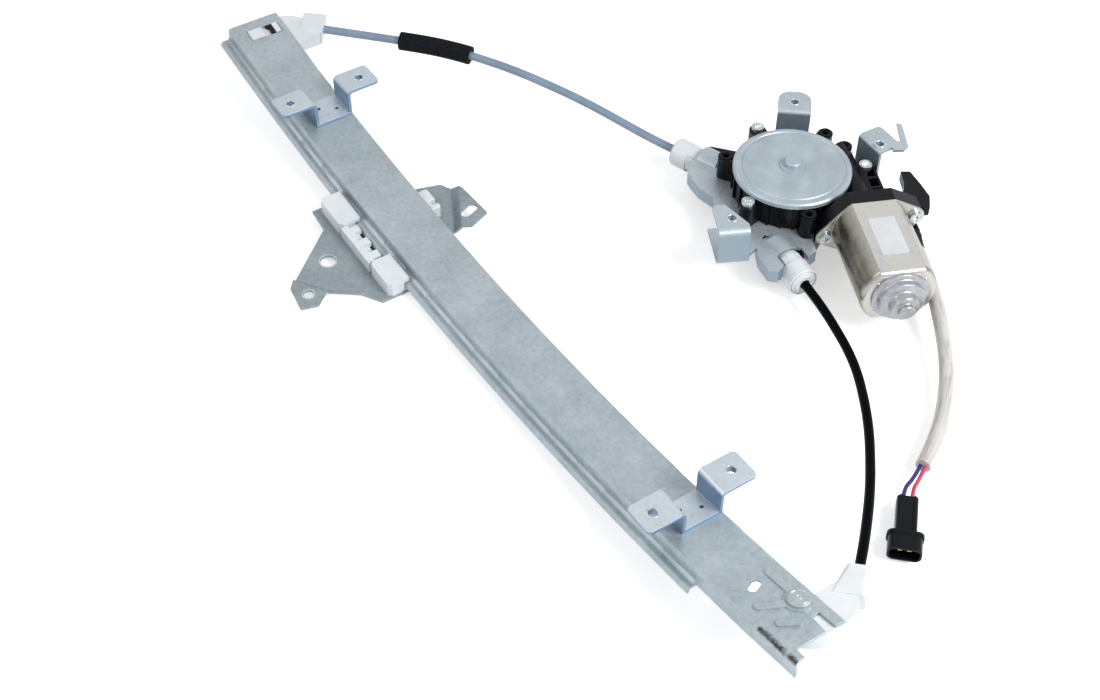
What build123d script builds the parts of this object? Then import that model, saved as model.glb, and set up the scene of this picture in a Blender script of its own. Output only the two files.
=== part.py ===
"""Cable window regulator of a car door: a curved steel rail, a carrier that rides on it, and a geared motor
with a cable drum, joined by two sheathed cables.

The origin is the centre of the four bolt holes of the rail brackets, on their mounting plane. +Y runs up the
rail, +Z points to the inside of the door, and +X points from the rail to the motor. Lengths are millimetres.
"""

import os
from math import acos, asin, atan2, cos, degrees, pi, radians, sin, sqrt, tan

from build123d import *

os.makedirs("parts", exist_ok=True)

# Driving dimensions: rail
rail_radius = 1600.0
rail_top_y = 307.0
rail_bottom_y = -319.0
web_width = 38.0
web_centre_x = -4.0
rail_gauge = 1.5
rail_bend = 2.2
near_wall_depth = 10.0
flange_width = 6.5
lip_depth = 3.5
far_wall_depth = 8.0
flange_bottom_y = -240.0
far_wall_bottom_y = -258.0
far_wall_top_y = 254.0
window_width = 24.0
window_height = 10.0
window_y = 294.0
drain_hole_place = (-6.0, -267.5)
bead_height = 1.0
bead_width = 5.0

# Driving dimensions: rail brackets
bracket_station = 206.0
bracket_height = 18.0
bracket_gauge = 2.0
bracket_bend = 3.6
ear_corner = 3.0
bracket_width = 21.0
bracket_base_width = 27.0
bracket_pin_radius = 1.2
bracket_pin_places = ((-5, 3), (6, -2))
ear_hole_spacing = 52.0
ear_reach = 36.0
bolt_thread_radius = 2.55
collar_radius = 4.6
collar_depth = 2.4

# Driving dimensions: cables and their guides
wire_radius = 0.8
conduit_radius = 2.9
cable_depth = 7.0
cable_x = -10.0
upper_turn_radius = 20.0
lower_turn_radius = 21.5
upper_turn_y = 281.5
lower_turn_y = -289.0
upper_entry_angle = 141.0
lower_entry_angle = 221.0
guide_top_depth = 1.7
guide_thickness = 11.0
guide_rim = 3.5
conduit_seat_depth = 9.0
upper_sleeve_length = 22.0
lower_sleeve_length = 27.0
rivet_radius = 3.0
rivet_head_radius = 6.5
rivet_x = 5.2

# Driving dimensions: carrier
carrier_y = 97.0
carrier_travel_up = 125.0
carrier_travel_down = 275.0
carrier_gauge = 1.8
carrier_depth = 16.2
slider_gap = 0.35
ear_step = 6.0
ear_fold_run = 5.0
left_fold_turn = 216.0
left_fold_distance = 68.0
right_fold_turn = -28.0
right_fold_distance = 28.0
anchor_width = 14.0
anchor_length = 26.0
nipple_radius = 3.0
nipple_length = 7.0
slider_left = -41.0
slider_right = -19.0
slider_top = -6.8
slider_overlap = 3.2
glass_hole_radius = 3.4
left_glass_hole_place = (-85.1, -21.2)
right_glass_hole_place = (39.5, -10.0)
sight_hole_place = (-58.8, 2.9)
sight_hole_radius = 5.0

# Driving dimensions: drum and gear unit
unit_x = 215.6
unit_y = -25.7
unit_turn = -24.5
plate_z = -24.3
plate_gauge = 1.8
plate_disc_radius = 47.0
plate_bend = 3.0
ear_width = 22.0
ear_top_hole = (17.0, 60.1)
ear_right_hole = (60.5, 8.9)
ear_left_hole = (-50.8, -46.2)
plate_screw_places = ((-34.8, -24.4), (-10.8, 47.4), (49.0, -1.0))
plate_screw_radius = 2.4
plate_screw_head = 4.2
plate_screw_seat = -10.0
drum_radius = 24.0
drum_height = 13.0
drum_top_z = -27.4
drum_cover_radius = 31.0
drum_cover_wall = 1.8
drum_cover_bottom_z = -45.6
drum_floor_radius = 22.9
drum_flange_radius = 26.0
drum_flange = 1.2
groove_pitch = 2.1
shaft_radius = 5.0
shaft_clearance = 0.05
gear_cover_z = -3.3
gear_cover_radius = 38.3
gear_cover_gauge = 1.2
gear_cover_skirt = 3.6
gear_cover_fit = 0.2
housing_wall = 2.5
housing_floor = 2.5
tunnel_radius = 7.2
tunnel_end = 22.0
tunnel_wall = 1.1
worm_core_radius = 4.25
rib_box_top = -10.0
lug_top = -8.0
other_lug_places = ((-38.5, 21.8), (32.0, 34.6), (40.9, 19.8), (0.0, -42.0))
hub_recess_inner = 9.0
hub_recess_outer = 25.0
hub_recess_depth = 6.0
hub_thickness = 2.0
journal_radius = 3.5
module_size = 1.0
wheel_teeth = 65
wheel_width = 9.0
worm_pitch_radius = 5.5
worm_z = -15.3
worm_turns = 6
mesh_play = 0.16

# Driving dimensions: motor
flange_distance = 49.6
can_radius = 24.0
can_half_height = 19.5
can_gauge = 1.6
can_length = 64.0
flange_gauge = 1.6
adapter_depth = 11.0
motor_screw_x = 28.6
motor_screw_rise = 5.0
motor_screw_radius = 2.0
brush_card_radius = 20.0
armature_radius = 15.5
armature_length = 30.0
motor_shaft_radius = 2.5
motor_nose_length = 15.5
magnet_inner_radius = 16.6
magnet_height = 33.0
commutator_radius = 5.5
commutator_length = 8.0
bush_radius = 5.0
bush_length = 6.0
label_length = 33.0
label_width = 17.0
label_start = 15.0
fit = 0.05

# Driving dimensions: cable ferrules
ferrule_radius = 8.5
ferrule_length = 26.0
ferrule_z = -33.3
ferrule_cover = 5.0
hump_reach = 10.0
hump_rise = 1.5
apron_depth = 9.0
ferrule_bore = 1.2
ferrule_groove = 1.0
spring_radius = 4.6
spring_wire = 0.7
spring_depth = 12.0
spring_pitch = 2.6
spring_turns = 4
foam_radius = 6.5
foam_start = 0.60
foam_end = 0.78
upper_ferrule_tip = (-61.5, 61.6)
upper_ferrule_angle = 132.5
lower_ferrule_tip = (-9.5, -77.0)
lower_ferrule_angle = -75.5

# Driving dimensions: lead and connector
sleeve_radius = 4.6
lead_wire_radius = 1.2
wire_spread = 1.5
plug_wire_spread = 2.6
plug_stem_length = 25.0
plug_width = 12.0
plug_height = 9.0
plug_socket_length = 13.0
plug_socket_width = 19.0
plug_socket_height = 10.6
plug_wall = 1.2

# Worked-out sizes
arc_drop = rail_radius - sqrt(rail_radius**2 - bracket_station**2)
apex_z = -bracket_height - arc_drop
arc_axis = Axis((0, 0, apex_z + rail_radius), (1, 0, 0))
unit_axis = Axis((unit_x, unit_y, 0), (0, 0, 1))
web_left = web_centre_x - web_width / 2
web_right = web_centre_x + web_width / 2
wheel_radius = module_size * wheel_teeth / 2
centre_distance = wheel_radius + worm_pitch_radius


def web_z(y):
    """Height of the web's upper face at station y."""
    return apex_z + rail_radius - sqrt(rail_radius**2 - y**2)


def web_angle(y):
    """Angle about the rail's arc axis of station y, in degrees."""
    return degrees(asin(y / rail_radius))


def section_plane(y):
    """The plane across the rail at station y: x across, y out of the web."""
    a = radians(web_angle(y))
    return Plane(origin=(0, y, web_z(y)), x_dir=(1, 0, 0), z_dir=(0, -cos(a), -sin(a)))


def web_plane(y, height=0.0):
    """The plane on the web at station y, raised by height: x across, y up the rail."""
    a = radians(web_angle(y))
    return Plane(origin=(0, y, web_z(y)), x_dir=(1, 0, 0), z_dir=(0, -sin(a), cos(a))).offset(height)


def unit_plane(z=0.0):
    """The drum unit's plane at height z: origin on the drum's axis, y along the worm."""
    turn = radians(unit_turn)
    return Plane(origin=(unit_x, unit_y, z), x_dir=(cos(turn), sin(turn), 0), z_dir=(0, 0, 1))


def facing_plane(x, y, z, angle):
    """A vertical plane that faces a direction of the drum unit: x across, y up."""
    turn = radians(unit_turn + angle)
    point = unit_plane().from_local_coords(Vector(x, y, 0))
    return Plane(origin=(point.X, point.Y, z), x_dir=(-sin(turn), cos(turn), 0), z_dir=(cos(turn), sin(turn), 0))


def motor_plane(distance):
    """The plane across the motor's axis, distance from the flange towards the motor's end: y up."""
    return facing_plane(centre_distance, -flange_distance - distance, worm_z, -90)


def arc_solid_angle(low_y, high_y):
    """The arc, in degrees, from station low_y to station high_y."""
    return web_angle(high_y) - web_angle(low_y)


def write(name, builder):
    """Labels a finished piece and writes its STEP file."""
    builder.part.label = name
    export_step(builder.part, f"parts/{name}.step")


# Guide rail: web, walls, flange and lip revolved about the arc axis
with BuildPart() as guide_rail:
    with BuildSketch(section_plane(rail_bottom_y)):
        with BuildLine():
            FilletPolyline(
                (web_right, -far_wall_depth),
                (web_right, 0),
                (web_left, 0),
                (web_left, -near_wall_depth),
                (web_left - flange_width, -near_wall_depth),
                (web_left - flange_width, -near_wall_depth - lip_depth),
                radius=rail_bend,
            )
            offset(amount=rail_gauge, side=Side.LEFT)
        make_face()
    revolve(axis=arc_axis, revolution_arc=arc_solid_angle(rail_bottom_y, rail_top_y))
    # The top end is closed by a wall
    with BuildSketch(web_plane(rail_top_y, -rail_gauge / 2)):
        with Locations((web_centre_x, -rail_gauge / 2)):
            Rectangle(web_width - 2 * rail_gauge, rail_gauge)
    extrude(amount=-near_wall_depth + rail_gauge / 2)
    # Window for the upper cable guide's snap
    with BuildSketch(web_plane(window_y, rail_gauge)):
        with Locations((web_centre_x + 2.5, 0)):
            RectangleRounded(window_width, window_height, 1.0)
    extrude(amount=-3 * rail_gauge, mode=Mode.SUBTRACT)
    # Stadium hole near the bottom, and the rivet's hole
    with BuildSketch(web_plane(drain_hole_place[1], rail_gauge)):
        with Locations((drain_hole_place[0], 0)):
            SlotOverall(9.0, 5.4, rotation=25)
    extrude(amount=-3 * rail_gauge, mode=Mode.SUBTRACT)
    with BuildSketch(web_plane(lower_turn_y, rail_gauge)):
        with Locations((rivet_x, 0)):
            Circle(rivet_radius + fit)
    extrude(amount=-3 * rail_gauge, mode=Mode.SUBTRACT)
    # The flange and the far wall stop short of the bottom end
    with BuildSketch(web_plane((rail_bottom_y + flange_bottom_y) / 2 - 8, -near_wall_depth + rail_bend)):
        with Locations((web_left - flange_width / 2 - 0.8, 0)):
            Rectangle(flange_width + 1.0, flange_bottom_y - rail_bottom_y + 16)
    extrude(amount=-2 * near_wall_depth, mode=Mode.SUBTRACT)
    for low, high in ((rail_bottom_y - 16, far_wall_bottom_y), (far_wall_top_y, rail_top_y + 16)):
        with BuildSketch(web_plane((low + high) / 2, -rail_gauge)):
            with Locations((web_right, 0)):
                Rectangle(4 * rail_gauge, high - low)
        extrude(amount=-2 * far_wall_depth, mode=Mode.SUBTRACT)
    # Notched bottom edge
    with BuildSketch(web_plane(rail_bottom_y, rail_gauge)):
        with BuildLine():
            Polyline(
                (web_left + 6.5, -6),
                (web_left + 6.5, 6.5),
                (web_right - 13, 6.5),
                (web_right - 12, 18.5),
                (web_right - 7, 18.5),
                (web_right - 6.5, 6.5),
                (web_right + 3, 6.5),
                (web_right + 3, -6),
                close=True,
            )
        make_face()
    extrude(amount=-4 * rail_gauge, mode=Mode.SUBTRACT)
    # Stiffening beads round the rivet
    with BuildSketch(web_plane(lower_turn_y, -rail_gauge / 2)):
        for x, y, length, turn in ((6.0, 15.0, 24, 90), (-6.5, 5.0, 21, -30), (-8.2, -8.8, 14, -34)):
            with Locations((x, y)):
                SlotOverall(length, bead_width, rotation=turn)
        with Locations((rivet_x, 0)):
            Circle(rivet_head_radius + 1.6)
            Circle(rivet_radius + fit, mode=Mode.SUBTRACT)
    extrude(amount=rail_gauge / 2 + bead_height)
write("guide_rail", guide_rail)


def make_bracket(station):
    """A hat bracket welded on the web at a station, with two threaded ears on the mounting plane."""
    low, high = station - bracket_width / 2, station + bracket_width / 2
    wall_x = bracket_base_width / 2
    with BuildPart() as bracket:
        with BuildSketch(section_plane(low)):
            with Locations((0, bracket_gauge / 2)):
                Rectangle(bracket_base_width, bracket_gauge)
        revolve(axis=arc_axis, revolution_arc=arc_solid_angle(low, high))
        for side in (-1, 1):
            with BuildSketch(Plane.YZ.offset(side * wall_x)):
                with BuildLine():
                    Polyline(
                        (low, web_z(low) + 0.02),
                        (high, web_z(high) + 0.02),
                        (high, 0),
                        (low, 0),
                        close=True,
                    )
                make_face()
            extrude(amount=-side * bracket_gauge)
            with BuildSketch(Plane.XY.offset(-bracket_gauge)) as ear:
                with Locations((side * (wall_x - bracket_gauge + ear_reach) / 2, station)):
                    Rectangle(ear_reach - wall_x + bracket_gauge, bracket_width)
                fillet(ear.vertices().sort_by(Axis.X)[-2:] if side > 0 else ear.vertices().sort_by(Axis.X)[:2],
                       ear_corner)
            extrude(amount=bracket_gauge)
        fillet(bracket.edges().filter_by(Axis.Y).group_by(Axis.Z)[-1].sort_by(Axis.X)[1:3], bracket_bend)
        inner_bends = [edge for edge in bracket.edges().filter_by(Axis.Y)
                       if abs(abs(edge.center().X) - wall_x) < 0.01 and abs(edge.center().Z + bracket_gauge) < 0.01]
        fillet(inner_bends, bracket_bend - bracket_gauge)
        with Locations(*[(side * ear_hole_spacing / 2, station, -bracket_gauge) for side in (-1, 1)]):
            Cylinder(collar_radius, collar_depth, align=(Align.CENTER, Align.CENTER, Align.MAX))
        with Locations((-ear_hole_spacing / 2, station, 0), (ear_hole_spacing / 2, station, 0)):
            Hole(bolt_thread_radius)
        with Locations(web_plane(station, bracket_gauge)):
            with Locations(*bracket_pin_places):
                Hole(bracket_pin_radius, depth=bracket_gauge)
    return bracket


upper_bracket = make_bracket(bracket_station)
write("upper_bracket", upper_bracket)
lower_bracket = make_bracket(-bracket_station)
write("lower_bracket", lower_bracket)

# Turns of the cable guides: plane of the turn, its centre and where the cable enters it
upper_turn_plane = web_plane(upper_turn_y, -cable_depth)
lower_turn_plane = web_plane(lower_turn_y, -cable_depth)
upper_turn_x = cable_x + upper_turn_radius
lower_turn_x = cable_x + lower_turn_radius


def entry_line(turn_x, radius, angle, side, distance):
    """A point on the straight run that enters a turn, in the turn's plane, distance before the turn."""
    a = radians(angle)
    start = (turn_x + radius * cos(a - side * pi / 2), radius * sin(a - side * pi / 2))
    return start[0] - distance * cos(a), start[1] - distance * sin(a)


upper_entry = entry_line(upper_turn_x, upper_turn_radius, upper_entry_angle, 1, upper_sleeve_length)
lower_entry = entry_line(lower_turn_x, lower_turn_radius, lower_entry_angle, -1, lower_sleeve_length)


def entry_plane(turn_plane, entry, angle):
    """The plane across the cable where its conduit meets a guide: z along the cable into the guide."""
    a = radians(angle)
    origin = turn_plane.from_local_coords(Vector(entry[0], entry[1], 0))
    along = turn_plane.from_local_coords(Vector(entry[0] + cos(a), entry[1] + sin(a), 0)) - origin
    return Plane(origin=origin, x_dir=along.cross(turn_plane.z_dir), z_dir=along)


upper_entry_plane = entry_plane(upper_turn_plane, upper_entry, upper_entry_angle)
lower_entry_plane = entry_plane(lower_turn_plane, lower_entry, lower_entry_angle)
channel_radius = wire_radius + 0.4
seat_radius = conduit_radius + 0.1
guide_top = cable_depth - guide_top_depth

# Upper cable guide: a nylon body under the web with a snap in the web's window and a sleeve for the conduit
with BuildPart() as upper_cable_guide:
    with BuildSketch(upper_turn_plane.offset(guide_top)):
        with Locations((upper_turn_x, 0)):
            Circle(upper_turn_radius + guide_rim)
        with Locations((cable_x, -7)):
            Rectangle(2 * guide_rim, 16)
        with Locations((web_right + 28, -25)):
            Rectangle(60, 40, mode=Mode.SUBTRACT)
    extrude(amount=-guide_thickness)
    with BuildSketch(upper_entry_plane):
        with Locations((0, 0)):
            RectangleRounded(19, 13, 2)
    with BuildSketch(upper_entry_plane.offset(upper_sleeve_length - 6)):
        with Locations((0, guide_top - guide_thickness / 2)):
            RectangleRounded(19, guide_thickness - 0.2, 2)
    loft()
    # Snap block that stands in the window
    with BuildSketch(web_plane(window_y, -guide_top_depth - 1)):
        with Locations((web_centre_x - 3.5, 0)):
            Rectangle(10, window_height - 1)
        with Locations((web_centre_x + 11.5, 0)):
            Rectangle(4, window_height - 1)
    extrude(amount=guide_top_depth + 1.8)
    # Channel of the cable: round the turn, down the rail and out to the conduit
    with BuildSketch(upper_entry_plane.offset(-1)):
        Circle(channel_radius)
    extrude(amount=upper_sleeve_length + 1, mode=Mode.SUBTRACT)
    with BuildSketch(Plane(upper_turn_plane.from_local_coords(Vector(cable_x, 0, 0)), x_dir=upper_turn_plane.x_dir,
                           z_dir=-upper_turn_plane.y_dir)):
        Circle(channel_radius)
    revolve(
        axis=Axis(upper_turn_plane.from_local_coords(Vector(upper_turn_x, 0, 0)), upper_turn_plane.z_dir),
        revolution_arc=-(270 - upper_entry_angle),
        mode=Mode.SUBTRACT,
    )
    with BuildSketch(Plane(upper_turn_plane.from_local_coords(Vector(cable_x, 0, 0)), x_dir=upper_turn_plane.x_dir,
                           z_dir=-upper_turn_plane.y_dir)):
        Circle(channel_radius)
    extrude(amount=20, mode=Mode.SUBTRACT)
    with BuildSketch(upper_entry_plane):
        Circle(seat_radius)
    extrude(amount=conduit_seat_depth, mode=Mode.SUBTRACT)
write("upper_cable_guide", upper_cable_guide)

# Lower cable guide: a nylon fan riveted under the web
with BuildPart() as lower_cable_guide:
    with BuildSketch(lower_turn_plane.offset(guide_top)):
        with Locations((lower_turn_x, 0)):
            Circle(lower_turn_radius + guide_rim)
        with Locations((cable_x, 6)):
            Rectangle(2 * guide_rim, 12)
        with Locations((lower_turn_x + 28, 20)):
            Rectangle(60, 40, mode=Mode.SUBTRACT)
        with Locations((rivet_x, 0)):
            Circle(rivet_head_radius)
    extrude(amount=-guide_thickness)
    with BuildSketch(lower_entry_plane):
        with Locations((0, 0)):
            RectangleRounded(13, 12, 3)
    with BuildSketch(lower_entry_plane.offset(lower_sleeve_length - 6)):
        with Locations((3, guide_top - guide_thickness / 2)):
            RectangleRounded(18, guide_thickness - 0.2, 2)
    loft()
    with BuildSketch(lower_entry_plane.offset(-1)):
        Circle(channel_radius)
    extrude(amount=lower_sleeve_length + 1, mode=Mode.SUBTRACT)
    with BuildSketch(Plane(lower_turn_plane.from_local_coords(Vector(cable_x, 0, 0)), x_dir=lower_turn_plane.x_dir,
                           z_dir=-lower_turn_plane.y_dir)):
        Circle(channel_radius)
    revolve(
        axis=Axis(lower_turn_plane.from_local_coords(Vector(lower_turn_x, 0, 0)), lower_turn_plane.z_dir),
        revolution_arc=lower_entry_angle - 90,
        mode=Mode.SUBTRACT,
    )
    with BuildSketch(Plane(lower_turn_plane.from_local_coords(Vector(cable_x, 0, 0)), x_dir=lower_turn_plane.x_dir,
                           z_dir=-lower_turn_plane.y_dir)):
        Circle(channel_radius)
    extrude(amount=-20, mode=Mode.SUBTRACT)
    with BuildSketch(lower_entry_plane):
        Circle(seat_radius)
    extrude(amount=conduit_seat_depth, mode=Mode.SUBTRACT)
    with BuildSketch(lower_turn_plane.offset(guide_top)):
        with Locations((rivet_x, 0)):
            Circle(rivet_radius + fit)
    extrude(amount=-guide_thickness, mode=Mode.SUBTRACT)
write("lower_cable_guide", lower_cable_guide)

# Rivet of the lower guide: head on the web, clinched under the guide
with BuildPart() as guide_rivet:
    with BuildSketch(web_plane(lower_turn_y, bead_height)):
        with Locations((rivet_x, 0)):
            Circle(rivet_head_radius)
    extrude(amount=1.6)
    with BuildSketch(web_plane(lower_turn_y, bead_height)):
        with Locations((rivet_x, 0)):
            Circle(rivet_radius)
    extrude(amount=-(bead_height + guide_top_depth + guide_thickness))
    with BuildSketch(web_plane(lower_turn_y, -guide_top_depth - guide_thickness)):
        with Locations((rivet_x, 0)):
            Circle(rivet_head_radius - 1.5)
    extrude(amount=-1.4)
    fillet(guide_rivet.faces().sort_by(Axis.Z)[-1].edges(), 0.8)
write("guide_rivet", guide_rivet)


def carrier_plane(height=0.0):
    """The carrier's flat plane: tangent to the web at the carrier's station, raised by height."""
    return web_plane(carrier_y, height)


def along_rail(low, high):
    """The arc, in degrees, between two places given from the carrier's station."""
    return arc_solid_angle(carrier_y + low, carrier_y + high)


# Carrier plate: pressed steel, its two glass ears stepped up from the plate
fold_cut_width = 100
fold_cut_length = 200
ear_root = 5
ear_fold_start = 1
ear_fold_radius = 2.5
ear_reach = 60
carrier_outline = (
    (-46, 48),
    (-12, 48),
    (6, 42),
    (22.5, 30.9),
    (39, 26.1),
    (47, 11),
    (48.8, -17.7),
    (33.9, -23.1),
    (18.2, -13.9),
    (10, -26),
    (-8, -46),
    (-46, -46),
    (-54.5, -32.8),
    (-69.8, -21.7),
    (-84, -32.5),
    (-95, -29.5),
    (-92.4, -11),
    (-83.5, -0.7),
    (-47.5, 29.5),
)
carrier_top = carrier_plane(-carrier_depth)
with BuildPart() as carrier_plate:
    with BuildSketch(carrier_top):
        Polygon(*carrier_outline, align=None)
        for turn, distance in ((left_fold_turn, left_fold_distance), (right_fold_turn, right_fold_distance)):
            with Locations(((distance + fold_cut_width / 2) * Vector(1, 0).rotate(Axis.Z, turn))):
                Rectangle(fold_cut_width, fold_cut_length, rotation=turn, mode=Mode.SUBTRACT)
    extrude(amount=-carrier_gauge)
    for turn, distance in ((left_fold_turn, left_fold_distance), (right_fold_turn, right_fold_distance)):
        out = Vector(1, 0).rotate(Axis.Z, turn)
        with BuildPart(mode=Mode.PRIVATE) as ear:
            with BuildSketch(Plane(
                carrier_top.origin,
                x_dir=carrier_top.from_local_coords(out) - carrier_top.origin,
                z_dir=carrier_top.from_local_coords(out.rotate(Axis.Z, -90)) - carrier_top.origin,
            )):
                with BuildLine():
                    FilletPolyline(
                        (distance - ear_root, 0),
                        (distance + ear_fold_start, 0),
                        (distance + ear_fold_start + ear_fold_run, ear_step),
                        (distance + ear_reach, ear_step),
                        radius=ear_fold_radius,
                    )
                    offset(amount=carrier_gauge, side=Side.RIGHT)
                make_face()
            extrude(amount=ear_reach, both=True)
            with BuildSketch(carrier_plane(-2 * carrier_depth)):
                Polygon(*carrier_outline, align=None)
            extrude(amount=2 * carrier_depth, mode=Mode.INTERSECT)
        add(ear.part)
    with BuildSketch(carrier_plane(-2 * carrier_depth)):
        with Locations(left_glass_hole_place):
            Circle(glass_hole_radius)
        with Locations(sight_hole_place):
            Circle(sight_hole_radius)
        with Locations(right_glass_hole_place):
            SlotOverall(4 * glass_hole_radius, 2 * glass_hole_radius, rotation=20)
    extrude(amount=2 * carrier_depth, mode=Mode.SUBTRACT)
write("carrier_plate", carrier_plate)


def make_slider(low, high):
    """A nylon shoe on the rail's flange and lip, seated on the carrier plate."""
    flange_left = web_left - flange_width
    lip_bottom = -near_wall_depth - lip_depth
    with BuildPart() as slider:
        with BuildSketch(section_plane(carrier_y + low)):
            with BuildLine():
                Polyline(
                    (slider_left, -carrier_depth - 1.5),
                    (slider_right, -carrier_depth - 1.5),
                    (slider_right, -near_wall_depth - rail_gauge - slider_gap),
                    (flange_left + rail_gauge + slider_gap, -near_wall_depth - rail_gauge - slider_gap),
                    (flange_left + rail_gauge + slider_gap, lip_bottom - slider_gap),
                    (flange_left - slider_gap, lip_bottom - slider_gap),
                    (flange_left - slider_gap, -near_wall_depth + slider_gap),
                    (flange_left + slider_overlap, -near_wall_depth + slider_gap),
                    (flange_left + slider_overlap, slider_top + 0.8),
                    (flange_left + slider_overlap - 1, slider_top),
                    (slider_left, slider_top),
                    close=True,
                )
            make_face()
        revolve(axis=arc_axis, revolution_arc=along_rail(low, high))
        split(bisect_by=carrier_plane(-carrier_depth), keep=Keep.TOP)
        chamfer(slider.edges().filter_by(Axis.Z, tolerance=6).sort_by(Axis.X)[:2], 2.5)
    return slider


upper_slider = make_slider(18, 46)
write("upper_slider", upper_slider)
lower_slider = make_slider(-45, -20)
write("lower_slider", lower_slider)

# Bar with fingers between the sliders
with BuildPart() as slider_bar:
    with BuildSketch(carrier_top):
        with Locations((slider_left + 4.5, -1)):
            Rectangle(9, 37)
    extrude(amount=4.5)
    with BuildSketch(carrier_top.offset(4.5)):
        with Locations((slider_left + 2.5, -1)):
            Rectangle(5, 37)
        with Locations((slider_left + 5.5, 12), (slider_left + 5.5, -1), (slider_left + 5.5, -14)):
            Rectangle(10, 6)
    extrude(amount=3.5)
write("slider_bar", slider_bar)

# Side glide beside the rail's far wall, with an open notch
with BuildPart() as side_glide:
    with BuildSketch(carrier_top):
        with Locations((web_right + 5.3, 9.5)):
            RectangleRounded(8, 19, 1.5)
        with Locations((web_right + 7.5, 6)):
            Rectangle(5, 4, mode=Mode.SUBTRACT)
    extrude(amount=9.5)
    fillet(side_glide.faces().sort_by(Axis.Z)[-1].edges(), 0.8)
write("side_glide", side_glide)

# Cable anchor under the web, with a pocket at each end for a cable nipple
with BuildPart() as cable_anchor:
    with BuildSketch(carrier_plane(-carrier_depth)):
        with Locations((cable_x, 0)):
            RectangleRounded(anchor_width, anchor_length, 2)
    extrude(amount=carrier_depth - 3.6)
    with BuildSketch(section_plane(carrier_y - anchor_length)):
        with Locations((cable_x, -cable_depth)):
            Circle(wire_radius + 0.3)
    revolve(axis=arc_axis, revolution_arc=along_rail(-anchor_length, anchor_length), mode=Mode.SUBTRACT)
    for side in (-1, 1):
        with BuildSketch(carrier_plane(-cable_depth).rotated((-90, 0, 0)).offset(side * anchor_length / 2)):
            with Locations((cable_x, 0)):
                Circle(nipple_radius)
        extrude(amount=-side * nipple_length, mode=Mode.SUBTRACT)
write("cable_anchor", cable_anchor)

# Nipples: crimped lugs at the cable ends, seated in the anchor
with BuildPart() as cable_nipples:
    for side in (-1, 1):
        with BuildSketch(carrier_plane(-cable_depth).rotated((-90, 0, 0)).offset(side * anchor_length / 2)):
            with Locations((cable_x, 0)):
                Circle(nipple_radius)
                Circle(wire_radius + 0.3, mode=Mode.SUBTRACT)
        extrude(amount=-side * nipple_length)
write("cable_nipples", cable_nipples)


def conduit_path(points):
    """The conduit's line: rounded at each point as far as the shorter run beside it allows."""
    corners = [Vector(*point) for point in points]
    radii = []
    for before, corner, after in zip(corners, corners[1:], corners[2:]):
        turn = radians((corner - before).get_angle(after - corner))
        shorter = min((corner - before).length, (after - corner).length)
        radii.append(0.45 * shorter / tan(turn / 2))
    print("bend radii", [round(radius) for radius in radii])
    return FilletPolyline(*corners, radius=radii)


def ferrule_plane(tip, angle):
    """The plane across a ferrule at its tip, facing out."""
    return facing_plane(tip[0], tip[1], ferrule_z, angle)


upper_tip_plane = ferrule_plane(upper_ferrule_tip, upper_ferrule_angle)
lower_tip_plane = ferrule_plane(lower_ferrule_tip, lower_ferrule_angle)

# Conduits: sheathed cables from the drum unit to the guides
upper_seat = upper_entry_plane.offset(conduit_seat_depth)
lower_seat = lower_entry_plane.offset(conduit_seat_depth)
upper_start = upper_tip_plane.offset(-conduit_seat_depth)
lower_start = lower_tip_plane.offset(-conduit_seat_depth)
upper_route = [
    tuple(upper_start.origin),
    tuple(upper_tip_plane.offset(24).origin),
    (158.0, 128.0, -26.0),
    (132.0, 178.0, -19.5),
    (104.0, 222.0, -17.0),
    tuple(upper_entry_plane.offset(-38).origin),
    tuple(upper_seat.origin),
]
lower_route = [
    tuple(lower_start.origin),
    tuple(lower_tip_plane.offset(24).origin),
    (156.0, -162.0, -31.0),
    (128.0, -206.0, -26.5),
    (94.0, -245.0, -21.0),
    tuple(lower_entry_plane.offset(-24).origin),
    tuple(lower_seat.origin),
]
for name, route in (("upper_conduit", upper_route), ("lower_conduit", lower_route)):
    with BuildPart() as conduit:
        with BuildLine() as route_line:
            conduit_path(route)
        with BuildSketch(Plane(route_line.line @ 0, z_dir=route_line.line % 0)):
            Circle(conduit_radius)
        sweep()
    write(name, conduit)
    runs = [(Vector(*b) - Vector(*a)).length for a, b in zip(route, route[1:])]
    length = sum(edge.length for edge in route_line.edges())
    print(name, "runs", [round(run, 1) for run in runs], "length", round(length, 1))
    print("volume", round(conduit.part.volume), "section by length", round(pi * conduit_radius**2 * length))
    if name == "upper_conduit":
        foam_line = Wire(route_line.edges()).trim(foam_start, foam_end)

# Foam sleeve on the upper conduit
with BuildPart() as foam_sleeve:
    with BuildSketch(Plane(foam_line @ 0, z_dir=foam_line % 0)):
        Circle(foam_radius)
        Circle(conduit_radius, mode=Mode.SUBTRACT)
    sweep(path=foam_line)
write("foam_sleeve", foam_sleeve)


def drum_tangent(plane, side, height):
    """The point where the wire from a ferrule's inner end meets the drum, on one side of the axis."""
    start = unit_plane().to_local_coords(plane.offset(-ferrule_length).origin)
    start_angle = Vector(start.X, start.Y, 0).get_signed_angle(Vector(1, 0, 0), Vector(0, 0, -1))
    reach = degrees(acos(drum_radius / Vector(start.X, start.Y, 0).length))
    angle = radians(start_angle + side * reach)
    return unit_plane(height).from_local_coords(Vector(drum_radius * cos(angle), drum_radius * sin(angle), 0))


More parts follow.
